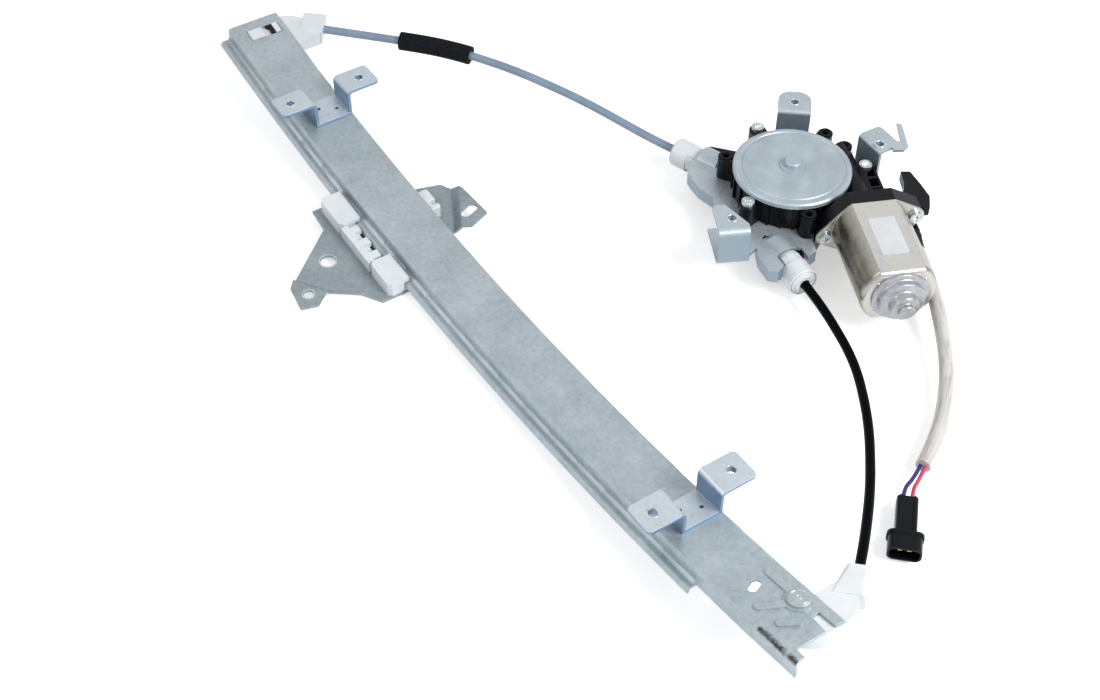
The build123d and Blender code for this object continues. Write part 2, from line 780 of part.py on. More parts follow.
def make_cable(turn_plane, turn_x, turn_y, entry_angle, seat, sleeve_length, tip_plane, side, wire_z):
    """A cable's bare wire: along the rail and round its guide, and from its ferrule to the drum."""
    rail_side = 1 if turn_y > 0 else -1
    with BuildPart() as cable:
        with BuildSketch(section_plane(min(carrier_y, turn_y))):
            with Locations((cable_x, -cable_depth)):
                Circle(wire_radius)
        revolve(axis=arc_axis, revolution_arc=arc_solid_angle(min(carrier_y, turn_y), max(carrier_y, turn_y)))
        with BuildSketch(Plane(turn_plane.from_local_coords(Vector(cable_x, 0, 0)), x_dir=turn_plane.x_dir,
                               z_dir=-turn_plane.y_dir)):
            Circle(wire_radius)
        revolve(
            axis=Axis(turn_plane.from_local_coords(Vector(turn_x, 0, 0)), turn_plane.z_dir),
            revolution_arc=-(180 - (entry_angle - 90) % 180) if rail_side > 0 else entry_angle - 90,
        )
        with BuildSketch(seat):
            Circle(wire_radius)
        extrude(amount=sleeve_length - conduit_seat_depth)
    with BuildPart() as drum_run:
        with BuildLine() as wire_line:
            conduit_path([
                tuple(tip_plane.offset(-conduit_seat_depth).origin),
                tuple(tip_plane.offset(-ferrule_length).origin),
                tuple(drum_tangent(tip_plane, side, wire_z)),
            ])
        with BuildSketch(Plane(wire_line.line @ 0, z_dir=wire_line.line % 0)):
            Circle(wire_radius)
        sweep()
    with BuildPart() as whole:
        add(cable.part)
        add(drum_run.part)
    return whole


upper_wire_z = ferrule_z + groove_pitch / 2
lower_wire_z = ferrule_z - groove_pitch / 2
upper_cable = make_cable(upper_turn_plane, upper_turn_x, upper_turn_y, upper_entry_angle, upper_seat,
                         upper_sleeve_length, upper_tip_plane, 1, upper_wire_z)
write("upper_cable", upper_cable)
lower_cable = make_cable(lower_turn_plane, lower_turn_x, lower_turn_y, lower_entry_angle, lower_seat,
                         lower_sleeve_length, lower_tip_plane, -1, lower_wire_z)
write("lower_cable", lower_cable)


def make_ferrule(tip_plane):
    """A conduit's end piece: seat for the conduit at the tip, spring pocket at the inner end."""
    with BuildPart() as ferrule:
        with BuildSketch(tip_plane):
            Circle(ferrule_radius)
        extrude(amount=-ferrule_length)
        chamfer(ferrule.edges().filter_by(GeomType.CIRCLE), 0.8)
        with BuildSketch(tip_plane):
            Circle(seat_radius)
        extrude(amount=-conduit_seat_depth, mode=Mode.SUBTRACT)
        with BuildSketch(tip_plane):
            Circle(ferrule_bore)
        extrude(amount=-ferrule_length, mode=Mode.SUBTRACT)
        with BuildSketch(tip_plane.offset(-ferrule_length)):
            Circle(spring_radius + spring_wire + fit)
        extrude(amount=spring_depth, mode=Mode.SUBTRACT)
        with BuildSketch(tip_plane.offset(-5)):
            Circle(ferrule_radius + 1)
            Circle(ferrule_radius - ferrule_groove, mode=Mode.SUBTRACT)
        extrude(amount=2, mode=Mode.SUBTRACT)
    return ferrule


upper_ferrule = make_ferrule(upper_tip_plane)
write("upper_ferrule", upper_ferrule)
lower_ferrule = make_ferrule(lower_tip_plane)
write("lower_ferrule", lower_ferrule)


def radial_profile_plane(angle, across=0.0):
    """The vertical plane through the drum's axis that runs out along an angle: x outwards, y up."""
    turn = radians(unit_turn + angle)
    point = Vector(unit_x - across * sin(turn), unit_y + across * cos(turn), 0)
    return Plane(origin=point, x_dir=(cos(turn), sin(turn), 0), z_dir=(sin(turn), -cos(turn), 0))


def plate_strip(angle, across, width, points, corner):
    """A bent strip of the mounting plate: its top line in a radial plane, its width and its end's corners."""
    with BuildPart() as strip:
        with BuildSketch(radial_profile_plane(angle, across)):
            with BuildLine():
                FilletPolyline(*points, radius=plate_bend)
                offset(amount=plate_gauge, side=Side.RIGHT)
            make_face()
        extrude(amount=width / 2, both=True)
        fillet(strip.edges().filter_by(Axis.Z).group_by(Axis.Z)[-1], corner)
    return strip.part


def arm_outline(tip_plane, margin=0.0):
    """The outline of the drum cover with its arm under a ferrule, grown by a margin."""
    seat_end = unit_plane().to_local_coords(tip_plane.offset(-ferrule_length + ferrule_cover).origin)
    inner_end = unit_plane().to_local_coords(tip_plane.offset(-ferrule_length).origin)
    turn = degrees(atan2(seat_end.Y - inner_end.Y, seat_end.X - inner_end.X))
    Circle(drum_cover_radius + margin)
    with Locations(((seat_end.X + inner_end.X) / 2, (seat_end.Y + inner_end.Y) / 2)):
        Rectangle(
            ferrule_cover + 3 + 2 * margin,
            2 * (ferrule_radius + 0.2 + drum_cover_wall + margin),
            rotation=turn,
        )
    make_hull()


# Mounting plate: pressed steel with three raised ears, two humps over the ferrules and two skirted aprons
left_ear_angle = -92.0
left_ear_across = -49.8
left_fold = 60.0
top_ear_angle = 74.2
top_wall = 52.0
right_ear_angle = 21.2
right_ear_across = -9.6
right_wall = 54.1
upper_apron = ((-30, 40), (-42.4, 47.6), (-51.2, 44.8), (-57.7, 38.4), (-61.7, 27.7), (-60.8, 22.5),
               (-57.5, 11.8), (-50.7, 1.8), (-45.9, -6), (-30, -6))
lower_apron = ((-20, -40), (-33.3, -44), (-34.9, -58.2), (-31.8, -71.5), (-25.9, -73.4), (-18.9, -66.2),
               (-12.3, -60), (-4, -63.1), (2.4, -58.6), (4.7, -50), (0, -40))
left_lobe = ((0, 0), (-51, 0), (-50, -20), (-55, -30), (-60, -40), (-58, -56), (-42, -57), (-34, -50))
left_ear_cut = ((-54.5, -30), (-40.5, -55), (-30, -40), (-40, -25))
ear_finger_outline = ((67, 1.5), (74, 0.5), (78, 4), (80.5, 26), (77.5, 28), (74.5, 9), (69, 12))
plate_lug_radius = 8
motor_corner_place = (42.5, 19.7)
motor_corner_size = (80, 40)
with BuildPart() as mounting_plate:
    with BuildSketch(unit_plane(plate_z)):
        Circle(plate_disc_radius)
        Polygon(*left_lobe, align=None)
        with Locations(*plate_screw_places):
            Circle(plate_lug_radius)
    extrude(amount=-plate_gauge)
    for outline in (upper_apron, lower_apron):
        with BuildSketch(unit_plane(plate_z)):
            Polygon(*outline, align=None)
        extrude(amount=-apron_depth)
    for outline in (upper_apron, lower_apron):
        with BuildSketch(unit_plane(plate_z - plate_gauge)):
            Polygon(*outline, align=None)
            offset(amount=-plate_gauge)
            Circle(plate_disc_radius - 1)
        extrude(amount=-apron_depth, mode=Mode.SUBTRACT)
    for tip_plane in (upper_tip_plane, lower_tip_plane):
        with BuildSketch(unit_plane(plate_z - plate_gauge)):
            arm_outline(tip_plane, 0.4)
        extrude(amount=-apron_depth, mode=Mode.SUBTRACT)
    add(plate_strip(top_ear_angle, 0, ear_width,
                    [(40, plate_z), (top_wall, plate_z), (top_wall, 0), (73.5, 0)], 9))
    add(plate_strip(right_ear_angle, right_ear_across, ear_width,
                    [(40, plate_z), (right_wall, plate_z), (right_wall, 0), (71, 0)], 3))
    add(plate_strip(left_ear_angle, left_ear_across, ear_width - 2,
                    [(30, plate_z), (left_fold + 2, plate_z), (left_fold - 1, -plate_gauge),
                     (left_fold - 25, -plate_gauge)], 3))
    # The right ear's hooked finger, and the left ear's slanted side
    with BuildSketch(unit_plane(0)):
        Polygon(*ear_finger_outline, align=None)
    extrude(amount=-plate_gauge)
    with BuildSketch(unit_plane(3)):
        Polygon(*left_ear_cut, align=None)
    extrude(amount=-9, mode=Mode.SUBTRACT)
    # Humps over the ferrules
    for tip_plane in (upper_tip_plane, lower_tip_plane):
        with BuildSketch(tip_plane.offset(-ferrule_length + ferrule_cover)):
            Circle(ferrule_radius + 0.2 + hump_rise + plate_gauge)
        extrude(amount=-ferrule_cover - hump_reach)
    with BuildSketch(unit_plane(plate_z - plate_gauge)):
        with Locations(*[unit_plane().to_local_coords(tip_plane.offset(-ferrule_length).origin)
                         for tip_plane in (upper_tip_plane, lower_tip_plane)]):
            Circle(20)
        Polygon(*lower_apron, align=None, mode=Mode.SUBTRACT)
        Polygon(*upper_apron, align=None, mode=Mode.SUBTRACT)
    extrude(amount=-30, mode=Mode.SUBTRACT)
    for tip_plane in (upper_tip_plane, lower_tip_plane):
        with BuildSketch(tip_plane.offset(-ferrule_length + ferrule_cover)):
            Circle(ferrule_radius + 0.2 + hump_rise)
        extrude(amount=-ferrule_cover - hump_reach + plate_gauge, mode=Mode.SUBTRACT)
        with BuildSketch(unit_plane(plate_z - plate_gauge)):
            arm_outline(tip_plane, 0.4)
        extrude(amount=-30, mode=Mode.SUBTRACT)
        with BuildSketch(tip_plane.offset(1)):
            Circle(ferrule_radius + 0.2)
        extrude(amount=-ferrule_length - 1, mode=Mode.SUBTRACT)
        with BuildSketch(tip_plane.offset(1)):
            with Locations((0, plate_z - ferrule_z - 1)):
                Rectangle(2 * ferrule_radius + 1, 2 * plate_gauge + 1)
        extrude(amount=-ferrule_length + ferrule_cover - 1, mode=Mode.SUBTRACT)
    # Holes: shaft, screws, and the bolts of the three ears; and a corner left clear for the motor's face
    with BuildSketch(unit_plane(plate_z)):
        with Locations((motor_corner_place[0], -flange_distance + adapter_depth - motor_corner_place[1])):
            Rectangle(*motor_corner_size)
    extrude(amount=-apron_depth, mode=Mode.SUBTRACT)
    with BuildSketch(unit_plane(plate_z)):
        Circle(9)
        with Locations(*plate_screw_places):
            Circle(plate_screw_radius + 0.3)
    extrude(amount=-plate_gauge, mode=Mode.SUBTRACT)
    with BuildSketch(unit_plane(0)):
        with Locations(ear_top_hole, ear_right_hole, ear_left_hole):
            Circle(collar_radius)
    extrude(amount=-collar_depth - plate_gauge)
    with BuildSketch(unit_plane(0)):
        with Locations(ear_top_hole, ear_right_hole, ear_left_hole):
            Circle(bolt_thread_radius)
    extrude(amount=-collar_depth - plate_gauge, mode=Mode.SUBTRACT)
write("mounting_plate", mounting_plate)

# Drum cover: moulded cup under the plate, with a saddle for each ferrule
cover_top = plate_z - plate_gauge
with BuildPart() as drum_cover:
    for tip_plane in (upper_tip_plane, lower_tip_plane):
        with BuildSketch(unit_plane(cover_top)):
            arm_outline(tip_plane)
        extrude(amount=drum_cover_bottom_z - cover_top)
    for place in plate_screw_places:
        with BuildSketch(unit_plane(cover_top)):
            Circle(14)
            with Locations(place):
                Circle(6.5)
            make_hull()
        extrude(amount=-12)
    for tip_plane in (upper_tip_plane, lower_tip_plane):
        inner_end = unit_plane().to_local_coords(tip_plane.offset(-ferrule_length).origin)
        with BuildSketch(unit_plane(cover_top)):
            Circle(drum_cover_radius - drum_cover_wall)
            with Locations((inner_end.X, inner_end.Y)):
                Circle(spring_radius)
            make_hull()
        extrude(amount=drum_cover_bottom_z + drum_cover_wall - cover_top, mode=Mode.SUBTRACT)
        with BuildSketch(tip_plane):
            Circle(ferrule_radius + 0.1)
        extrude(amount=-ferrule_length, mode=Mode.SUBTRACT)
        with BuildSketch(tip_plane.offset(-ferrule_length / 2)):
            with Locations((0, ferrule_radius)):
                Rectangle(2 * ferrule_radius + 0.2, 2 * ferrule_radius)
        extrude(amount=ferrule_length / 2, both=True, mode=Mode.SUBTRACT)
    with BuildSketch(unit_plane(cover_top)):
        with Locations(*plate_screw_places):
            Circle(plate_screw_radius)
    extrude(amount=-10, mode=Mode.SUBTRACT)
    with BuildSketch(unit_plane(cover_top)):
        with Locations((45.0, -flange_distance + adapter_depth - 19.7)):
            Rectangle(80, 40)
    extrude(amount=-6, mode=Mode.SUBTRACT)
    with BuildSketch(unit_plane(drum_cover_bottom_z + drum_cover_wall)):
        Circle(shaft_radius + 3)
        Circle(shaft_radius + shaft_clearance, mode=Mode.SUBTRACT)
    extrude(amount=1.5)
write("drum_cover", drum_cover)

# Cable drum: grooves for the wound wire, and a wide groove where the two wires run off
drum_bottom_z = drum_top_z - drum_height
wound_heights = (upper_wire_z + groove_pitch, lower_wire_z - groove_pitch)
with BuildPart() as cable_drum:
    with BuildSketch(radial_profile_plane(0)):
        ridge = drum_radius - 0.2
        notch = wire_radius * sqrt(2)
        half = ridge - (drum_radius - notch)
        high, low = wound_heights
        wide_top = upper_wire_z + wire_radius + 0.25
        wide_bottom = lower_wire_z - wire_radius - 0.25
        with BuildLine():
            Polyline(
                (shaft_radius, drum_bottom_z),
                (drum_flange_radius, drum_bottom_z),
                (drum_flange_radius, drum_bottom_z + drum_flange),
                (ridge, drum_bottom_z + drum_flange),
                (ridge, low - half),
                (drum_radius - notch, low),
                (ridge - half + (wide_bottom - low), wide_bottom),
                (drum_floor_radius, wide_bottom),
                (drum_floor_radius, wide_top),
                (ridge - half + (high - wide_top), wide_top),
                (drum_radius - notch, high),
                (ridge, high + half),
                (ridge, drum_top_z - drum_flange),
                (drum_flange_radius, drum_top_z - drum_flange),
                (drum_flange_radius, drum_top_z),
                (shaft_radius, drum_top_z),
                close=True,
            )
        make_face()
    revolve(axis=unit_axis)
    with BuildSketch(unit_plane(drum_top_z)):
        with PolarLocations(14.5, 5):
            Circle(4)
    extrude(amount=-drum_height, mode=Mode.SUBTRACT)
write("cable_drum", cable_drum)

# Wound wire: one turn of each cable left on the drum
with BuildPart() as wound_wire:
    for height in wound_heights:
        with BuildSketch(radial_profile_plane(0)):
            with Locations((drum_radius, height)):
                Circle(wire_radius)
        revolve(axis=unit_axis)
write("wound_wire", wound_wire)

# Output shaft: carries the drum, the hub and, turning on it, the worm wheel
hub_top = worm_z + wheel_width / 2 + hub_thickness
with BuildPart() as output_shaft:
    with BuildSketch(unit_plane(drum_cover_bottom_z + drum_cover_wall + 0.3)):
        Circle(shaft_radius)
    extrude(amount=hub_top - drum_cover_bottom_z - drum_cover_wall - 0.3)
    with BuildSketch(unit_plane(hub_top)):
        Circle(journal_radius)
    extrude(amount=gear_cover_z - hub_top + 3)
write("output_shaft", output_shaft)

# Worm wheel: slanted teeth, and a recess for the dampers with three ribs
half_tooth = pi * module_size / 4 - mesh_play / 2
flank = tan(radians(20))
tooth_tip = wheel_radius + module_size
tooth_root = wheel_radius - 1.25 * module_size
helix_twist = degrees(wheel_width / 2 * module_size / (2 * worm_pitch_radius) / wheel_radius)


def wheel_outline(turn):
    """The corner points of the wheel's teeth, turned by an angle, with a gap at that angle."""
    points = []
    for tooth in range(wheel_teeth):
        centre = 2 * pi * (tooth + 0.5) / wheel_teeth + radians(turn)
        root_half = (half_tooth + 1.25 * module_size * flank) / tooth_root
        tip_half = (half_tooth - module_size * flank) / tooth_tip
        for radius, offset_angle in ((tooth_root, -root_half), (tooth_tip, -tip_half), (tooth_tip, tip_half),
                                     (tooth_root, root_half)):
            points.append((radius * cos(centre + offset_angle), radius * sin(centre + offset_angle)))
    return points


with BuildPart() as worm_wheel:
    with BuildSketch(unit_plane(worm_z - wheel_width / 2)):
        Polygon(*wheel_outline(-helix_twist), align=None)
    with BuildSketch(unit_plane(worm_z + wheel_width / 2)):
        Polygon(*wheel_outline(helix_twist), align=None)
    loft(ruled=True)
    with BuildSketch(unit_plane(worm_z + wheel_width / 2)):
        Circle(hub_recess_outer)
        Circle(hub_recess_inner, mode=Mode.SUBTRACT)
        with PolarLocations(hub_recess_outer / 2, 3):
            Rectangle(hub_recess_outer + 4, 4, mode=Mode.SUBTRACT)
    extrude(amount=-hub_recess_depth, mode=Mode.SUBTRACT)
    with BuildSketch(unit_plane(worm_z + wheel_width / 2)):
        Circle(shaft_radius + shaft_clearance)
    extrude(amount=-wheel_width, mode=Mode.SUBTRACT)
write("worm_wheel", worm_wheel)

# Dampers: rubber blocks between the wheel's ribs and the hub's dogs
with BuildPart() as dampers:
    with BuildSketch(unit_plane(worm_z + wheel_width / 2 - hub_recess_depth)):
        Circle(hub_recess_outer - 0.3)
        Circle(hub_recess_inner + 0.3, mode=Mode.SUBTRACT)
        with PolarLocations(hub_recess_outer / 2, 6):
            Rectangle(hub_recess_outer + 4, 4.2, mode=Mode.SUBTRACT)
    extrude(amount=hub_recess_depth - 0.3)
write("dampers", dampers)

# Drive hub: steel plate keyed on the shaft, its dogs between the dampers
with BuildPart() as drive_hub:
    with BuildSketch(unit_plane(worm_z + wheel_width / 2)):
        Circle(hub_recess_outer - 1)
        Circle(shaft_radius, mode=Mode.SUBTRACT)
        with PolarLocations(17, 3):
            Circle(3.5, mode=Mode.SUBTRACT)
    extrude(amount=hub_thickness)
    with BuildSketch(unit_plane(worm_z + wheel_width / 2)):
        with PolarLocations(17, 3, start_angle=60):
            Rectangle(10, 3.6)
    extrude(amount=-hub_recess_depth + 1)
write("drive_hub", drive_hub)


def can_section(radius, half_height):
    """The motor can's section: a circle with a flat above and below."""
    Circle(radius)
    Rectangle(2 * radius + 1, 2 * half_height, mode=Mode.INTERSECT)


def flange_section():
    """The outline of the motor's flange and of the housing's face that it is screwed on."""
    Circle(can_radius)
    with Locations(*motor_screw_places):
        Circle(flange_lug_radius)
    make_hull()
    Rectangle(4 * can_radius, 2 * can_half_height, mode=Mode.INTERSECT)


# Gear housing: moulded cup, worm tunnel, motor face, lugs, ribbed box and a horn that guards the lead
motor_screw_places = ((-motor_screw_x, -motor_screw_rise), (motor_screw_x, motor_screw_rise))
flange_lug_radius = 6.0
cup_radius = gear_cover_radius - gear_cover_gauge - gear_cover_fit
cup_top = gear_cover_z - gear_cover_gauge
lead_boss = (29.5, -13.5)
rib_box_place = (45.5, -21)
rib_box_size = (19, 38)
horn_outline = (
    (54, -31), (65, -31), (68, -22), (69, -12), (75, -13),
    (78, -26), (80, -38), (77, -48), (73, -48), (54, -39),
)
tunnel_length = flange_distance + tunnel_end - adapter_depth
with BuildPart() as gear_housing:
    with BuildSketch(unit_plane(plate_z)):
        Circle(cup_radius)
    extrude(amount=cup_top - plate_z)
    with BuildSketch(motor_plane(-adapter_depth)):
        Circle(tunnel_radius + tunnel_wall)
        with Locations((0, (plate_z - worm_z) / 2)):
            Rectangle(2 * (tunnel_radius + tunnel_wall), worm_z - plate_z)
    extrude(amount=-tunnel_length)
    with BuildSketch(motor_plane(0)):
        flange_section()
    extrude(amount=-adapter_depth)
    with BuildSketch(motor_plane(0)):
        with Locations((lead_boss[0] - 3, lead_boss[1])):
            RectangleRounded(17, 11, 2)
    extrude(amount=-adapter_depth)
    with BuildSketch(unit_plane(plate_z)):
        with Locations(rib_box_place):
            Rectangle(*rib_box_size)
    extrude(amount=rib_box_top - plate_z)
    for place, radius, top in [(place, 5.5, plate_screw_seat) for place in plate_screw_places] + [
            (place, 5.0, lug_top) for place in other_lug_places]:
        with BuildSketch(unit_plane(plate_z)):
            Circle(radius)
            with Locations(place):
                Circle(radius)
            make_hull()
        extrude(amount=top - plate_z)
    with BuildSketch(unit_plane(-14)):
        with BuildLine():
            Polyline(*horn_outline, close=True)
        make_face()
    extrude(amount=7)
    # Hollows
    with BuildSketch(unit_plane(plate_z + housing_floor)):
        Circle(cup_radius - housing_wall)
    extrude(amount=30, mode=Mode.SUBTRACT)
    with BuildSketch(motor_plane(-adapter_depth)):
        Circle(tunnel_radius)
    extrude(amount=-tunnel_length + 3, mode=Mode.SUBTRACT)
    with BuildSketch(motor_plane(-adapter_depth + 2)):
        Circle(tunnel_radius)
    extrude(amount=-3, mode=Mode.SUBTRACT)
    with BuildSketch(motor_plane(-2)):
        Circle(brush_card_radius - 2)
    extrude(amount=-adapter_depth + 4, mode=Mode.SUBTRACT)
    with BuildSketch(motor_plane(0)):
        can_section(brush_card_radius, can_half_height - 2)
        with Locations(*motor_screw_places):
            Circle(motor_screw_radius)
    extrude(amount=-2, mode=Mode.SUBTRACT)
    with BuildSketch(motor_plane(0)):
        with Locations(*motor_screw_places):
            Circle(motor_screw_radius)
    extrude(amount=-adapter_depth + 1, mode=Mode.SUBTRACT)
    with BuildSketch(unit_plane(rib_box_top)):
        with Locations((50.5, -16)):
            with GridLocations(0, 9.5, 1, 3):
                Rectangle(6, 7.5)
    extrude(amount=-9, mode=Mode.SUBTRACT)
    with BuildSketch(unit_plane(plate_z)):
        Circle(shaft_radius + shaft_clearance)
        with Locations(*plate_screw_places):
            Circle(plate_screw_radius)
    extrude(amount=15, mode=Mode.SUBTRACT)
    with BuildSketch(unit_plane(lug_top)):
        with Locations(*other_lug_places):
            Circle(2)
    extrude(amount=-8, mode=Mode.SUBTRACT)
write("gear_housing", gear_housing)

# Gear cover: pressed disc with a ring groove and a stepped boss over the shaft's journal
with BuildPart() as gear_cover:
    with BuildSketch(radial_profile_plane(0)):
        with BuildLine():
            Polyline(
                (journal_radius + shaft_clearance, cup_top),
                (gear_cover_radius - gear_cover_gauge, cup_top),
                (gear_cover_radius - gear_cover_gauge, cup_top - gear_cover_skirt + gear_cover_gauge),
                (gear_cover_radius, cup_top - gear_cover_skirt + gear_cover_gauge),
                (gear_cover_radius, gear_cover_z - 1),
                (gear_cover_radius - 1, gear_cover_z),
                (34.8, gear_cover_z),
                (34.3, gear_cover_z - 0.5),
                (32.7, gear_cover_z - 0.5),
                (32.2, gear_cover_z),
                (8.4, gear_cover_z),
                (8, gear_cover_z + 1.2),
                (5.6, gear_cover_z + 1.2),
                (5.5, gear_cover_z + 4.2),
                (5, gear_cover_z + 4.7),
                (0, gear_cover_z + 4.7),
                (0, gear_cover_z + 3.2),
                (journal_radius + shaft_clearance, gear_cover_z + 3.2),
                close=True,
            )
        make_face()
    revolve(axis=unit_axis)
write("gear_cover", gear_cover)

# Screws that clamp the housing, the plate and the drum cover
with BuildPart() as plate_screws:
    with BuildSketch(unit_plane(plate_screw_seat)):
        with Locations(*plate_screw_places):
            Circle(plate_screw_head)
    extrude(amount=2.8)
    with BuildSketch(unit_plane(plate_screw_seat)):
        with Locations(*plate_screw_places):
            Circle(plate_screw_radius)
    extrude(amount=cover_top - 8 - plate_screw_seat)
    with BuildSketch(unit_plane(plate_screw_seat + 2.8)):
        with Locations(*plate_screw_places):
            RegularPolygon(2.2, 6)
    extrude(amount=-1.8, mode=Mode.SUBTRACT)
write("plate_screws", plate_screws)

# Motor can: drawn steel, with its flange and a stepped end over the rear bush
with BuildPart() as motor_can:
    with BuildSketch(motor_plane(flange_gauge)):
        can_section(can_radius, can_half_height)
    extrude(amount=can_length - flange_gauge)
    fillet(motor_can.faces().sort_by(Axis.Y)[0].edges(), 4.0)
    for start, end, radius in ((0, 1.2, 17.5), (1.2, 6, 14), (6, 12, 8.5), (12, motor_nose_length, 4.5)):
        with BuildSketch(motor_plane(can_length + start)):
            Circle(radius)
        extrude(amount=end - start)
    with BuildSketch(motor_plane(0)):
        flange_section()
    extrude(amount=flange_gauge)
    with BuildSketch(motor_plane(0)):
        can_section(can_radius - can_gauge, can_half_height - can_gauge)
    extrude(amount=can_length - can_gauge, mode=Mode.SUBTRACT)
    with BuildSketch(motor_plane(can_length - can_gauge)):
        Circle(bush_radius)
    extrude(amount=9, mode=Mode.SUBTRACT)
    with BuildSketch(motor_plane(0)):
        with Locations(*motor_screw_places):
            Circle(motor_screw_radius + 0.2)
    extrude(amount=flange_gauge, mode=Mode.SUBTRACT)
write("motor_can", motor_can)

# Label on the can's upper flat, left bare
with BuildPart() as motor_label:
    with BuildSketch(Plane(motor_plane(label_start + label_length / 2).from_local_coords(Vector(0, can_half_height, 0)),
                           x_dir=motor_plane(0).x_dir, z_dir=(0, 0, 1))):
        RectangleRounded(label_width, label_length, 1.5)
    extrude(amount=0.25)
write("motor_label", motor_label)

# Magnets inside the can
with BuildPart() as magnets:
    with BuildSketch(motor_plane(18)):
        Circle(can_radius - can_gauge)
        Circle(magnet_inner_radius, mode=Mode.SUBTRACT)
        Rectangle(2 * can_radius, magnet_height, mode=Mode.INTERSECT)
    extrude(amount=36)
write("magnets", magnets)


# Armature: shaft, laminated core, coils and commutator
shaft_end = tunnel_end - 4.0 + flange_distance
with BuildPart() as motor_shaft:
    with BuildSketch(motor_plane(can_length + 7)):
        Circle(motor_shaft_radius)
    extrude(amount=-(can_length + 7 + shaft_end))
write("motor_shaft", motor_shaft)

core_start = 22.0
with BuildPart() as armature_core:
    with BuildSketch(motor_plane(core_start)):
        Circle(armature_radius)
        Circle(motor_shaft_radius, mode=Mode.SUBTRACT)
        with PolarLocations(armature_radius - 3.5, 8):
            Rectangle(7.2, 2.4, mode=Mode.SUBTRACT)
    extrude(amount=armature_length)
write("armature_core", armature_core)

with BuildPart() as armature_coils:
    for distance in (core_start, core_start + armature_length + 5):
        with BuildSketch(motor_plane(distance)):
            Circle(armature_radius - 1.5)
            Circle(motor_shaft_radius, mode=Mode.SUBTRACT)
        extrude(amount=-5)
    with BuildSketch(motor_plane(core_start)):
        with PolarLocations(armature_radius - 4, 8):
            Rectangle(5.5, 2.2)
    extrude(amount=armature_length)
write("armature_coils", armature_coils)

with BuildPart() as commutator:
    with BuildSketch(motor_plane(4)):
        Circle(commutator_radius)
        Circle(motor_shaft_radius, mode=Mode.SUBTRACT)
        with PolarLocations(commutator_radius, 8):
            Rectangle(1.6, 0.5, mode=Mode.SUBTRACT)
    extrude(amount=commutator_length)
write("commutator", commutator)

# Worm: one right-hand thread on the motor's shaft
worm_root = motor_plane(-flange_distance + worm_turns / 2 * pi * module_size)
thread_start = facing_plane(centre_distance, -worm_turns / 2 * pi * module_size, worm_z, 90)
thread_line = thread_start.location * Helix(
    pitch=pi * module_size, height=worm_turns * pi * module_size, radius=worm_pitch_radius
)
with BuildPart() as worm:
    with BuildSketch(worm_root.offset(1)):
        Circle(worm_core_radius)
    extrude(amount=-worm_turns * pi * module_size - 2)
    with BuildSketch(Plane(thread_start.origin, x_dir=thread_start.x_dir, z_dir=-thread_start.y_dir)):
        inner = worm_pitch_radius - worm_core_radius + 0.1
        with BuildLine():
            Polyline(
                (worm_core_radius - 0.1, -half_tooth - inner * flank),
                (worm_pitch_radius + module_size, -half_tooth + module_size * flank),
                (worm_pitch_radius + module_size, half_tooth - module_size * flank),
                (worm_core_radius - 0.1, half_tooth + inner * flank),
                close=True,
            )
        make_face()
    sweep(path=thread_line, is_frenet=True)
    with BuildSketch(worm_root.offset(8)):
        Circle(motor_shaft_radius)
    extrude(amount=-worm_turns * pi * module_size - 16, mode=Mode.SUBTRACT)
write("worm", worm)

# Bushes: two at the worm's ends and one in the can's nose
with BuildPart() as worm_bushes:
    for distance in (-adapter_depth - 1, -flange_distance - tunnel_end + 3):
        with BuildSketch(motor_plane(distance)):
            Circle(tunnel_radius)
            Circle(motor_shaft_radius + fit, mode=Mode.SUBTRACT)
        extrude(amount=-5 if distance > -flange_distance else 5)
write("worm_bushes", worm_bushes)

with BuildPart() as rear_bush:
    with BuildSketch(motor_plane(can_length)):
        Circle(bush_radius)
        Circle(motor_shaft_radius + fit, mode=Mode.SUBTRACT)
    extrude(amount=bush_length)
write("rear_bush", rear_bush)

# Brush card with two brush boxes, and the brushes
with BuildPart() as brush_card:
    with BuildSketch(motor_plane(-2)):
        can_section(brush_card_radius - 0.1, can_half_height - 2.1)
        Circle(commutator_radius + 1.5, mode=Mode.SUBTRACT)
    extrude(amount=3)
    with BuildSketch(motor_plane(1)):
        with Locations((-12.5, 0), (12.5, 0)):
            Rectangle(9, 8)
    extrude(amount=9)
    with BuildSketch(motor_plane(4)):
        with Locations((-10, 0), (10, 0)):
            Rectangle(12, 4)
    extrude(amount=5, mode=Mode.SUBTRACT)
write("brush_card", brush_card)

with BuildPart() as brushes:
    with BuildSketch(motor_plane(4)):
        for side in (-1, 1):
            with Locations((side * (commutator_radius + fit + 4.5), 0)):
                Rectangle(9, 4)
    extrude(amount=5)
write("brushes", brushes)

# Screws of the motor's flange
with BuildPart() as motor_screws:
    with BuildSketch(motor_plane(flange_gauge)):
        with Locations(*motor_screw_places):
            Circle(4.0)
    extrude(amount=2.6)
    with BuildSketch(motor_plane(flange_gauge)):
        with Locations(*motor_screw_places):
            Circle(motor_screw_radius)
    extrude(amount=-flange_gauge - 8)
    with BuildSketch(motor_plane(flange_gauge + 2.6)):
        with Locations(*motor_screw_places):
            RegularPolygon(1.8, 6)
    extrude(amount=-1.6, mode=Mode.SUBTRACT)
write("motor_screws", motor_screws)

# Tension springs in the ferrules
with BuildPart() as tension_springs:
    for tip_plane in (upper_tip_plane, lower_tip_plane):
        base = tip_plane.offset(-ferrule_length + spring_wire)
        coil = base.location * Helix(pitch=spring_pitch, height=spring_turns * spring_pitch, radius=spring_radius)
        with BuildSketch(Plane(base.from_local_coords(Vector(spring_radius, 0, 0)), x_dir=base.x_dir,
                               z_dir=-base.y_dir)):
            RegularPolygon(spring_wire, 6)
        sweep(path=coil, is_frenet=True)
write("tension_springs", tension_springs)

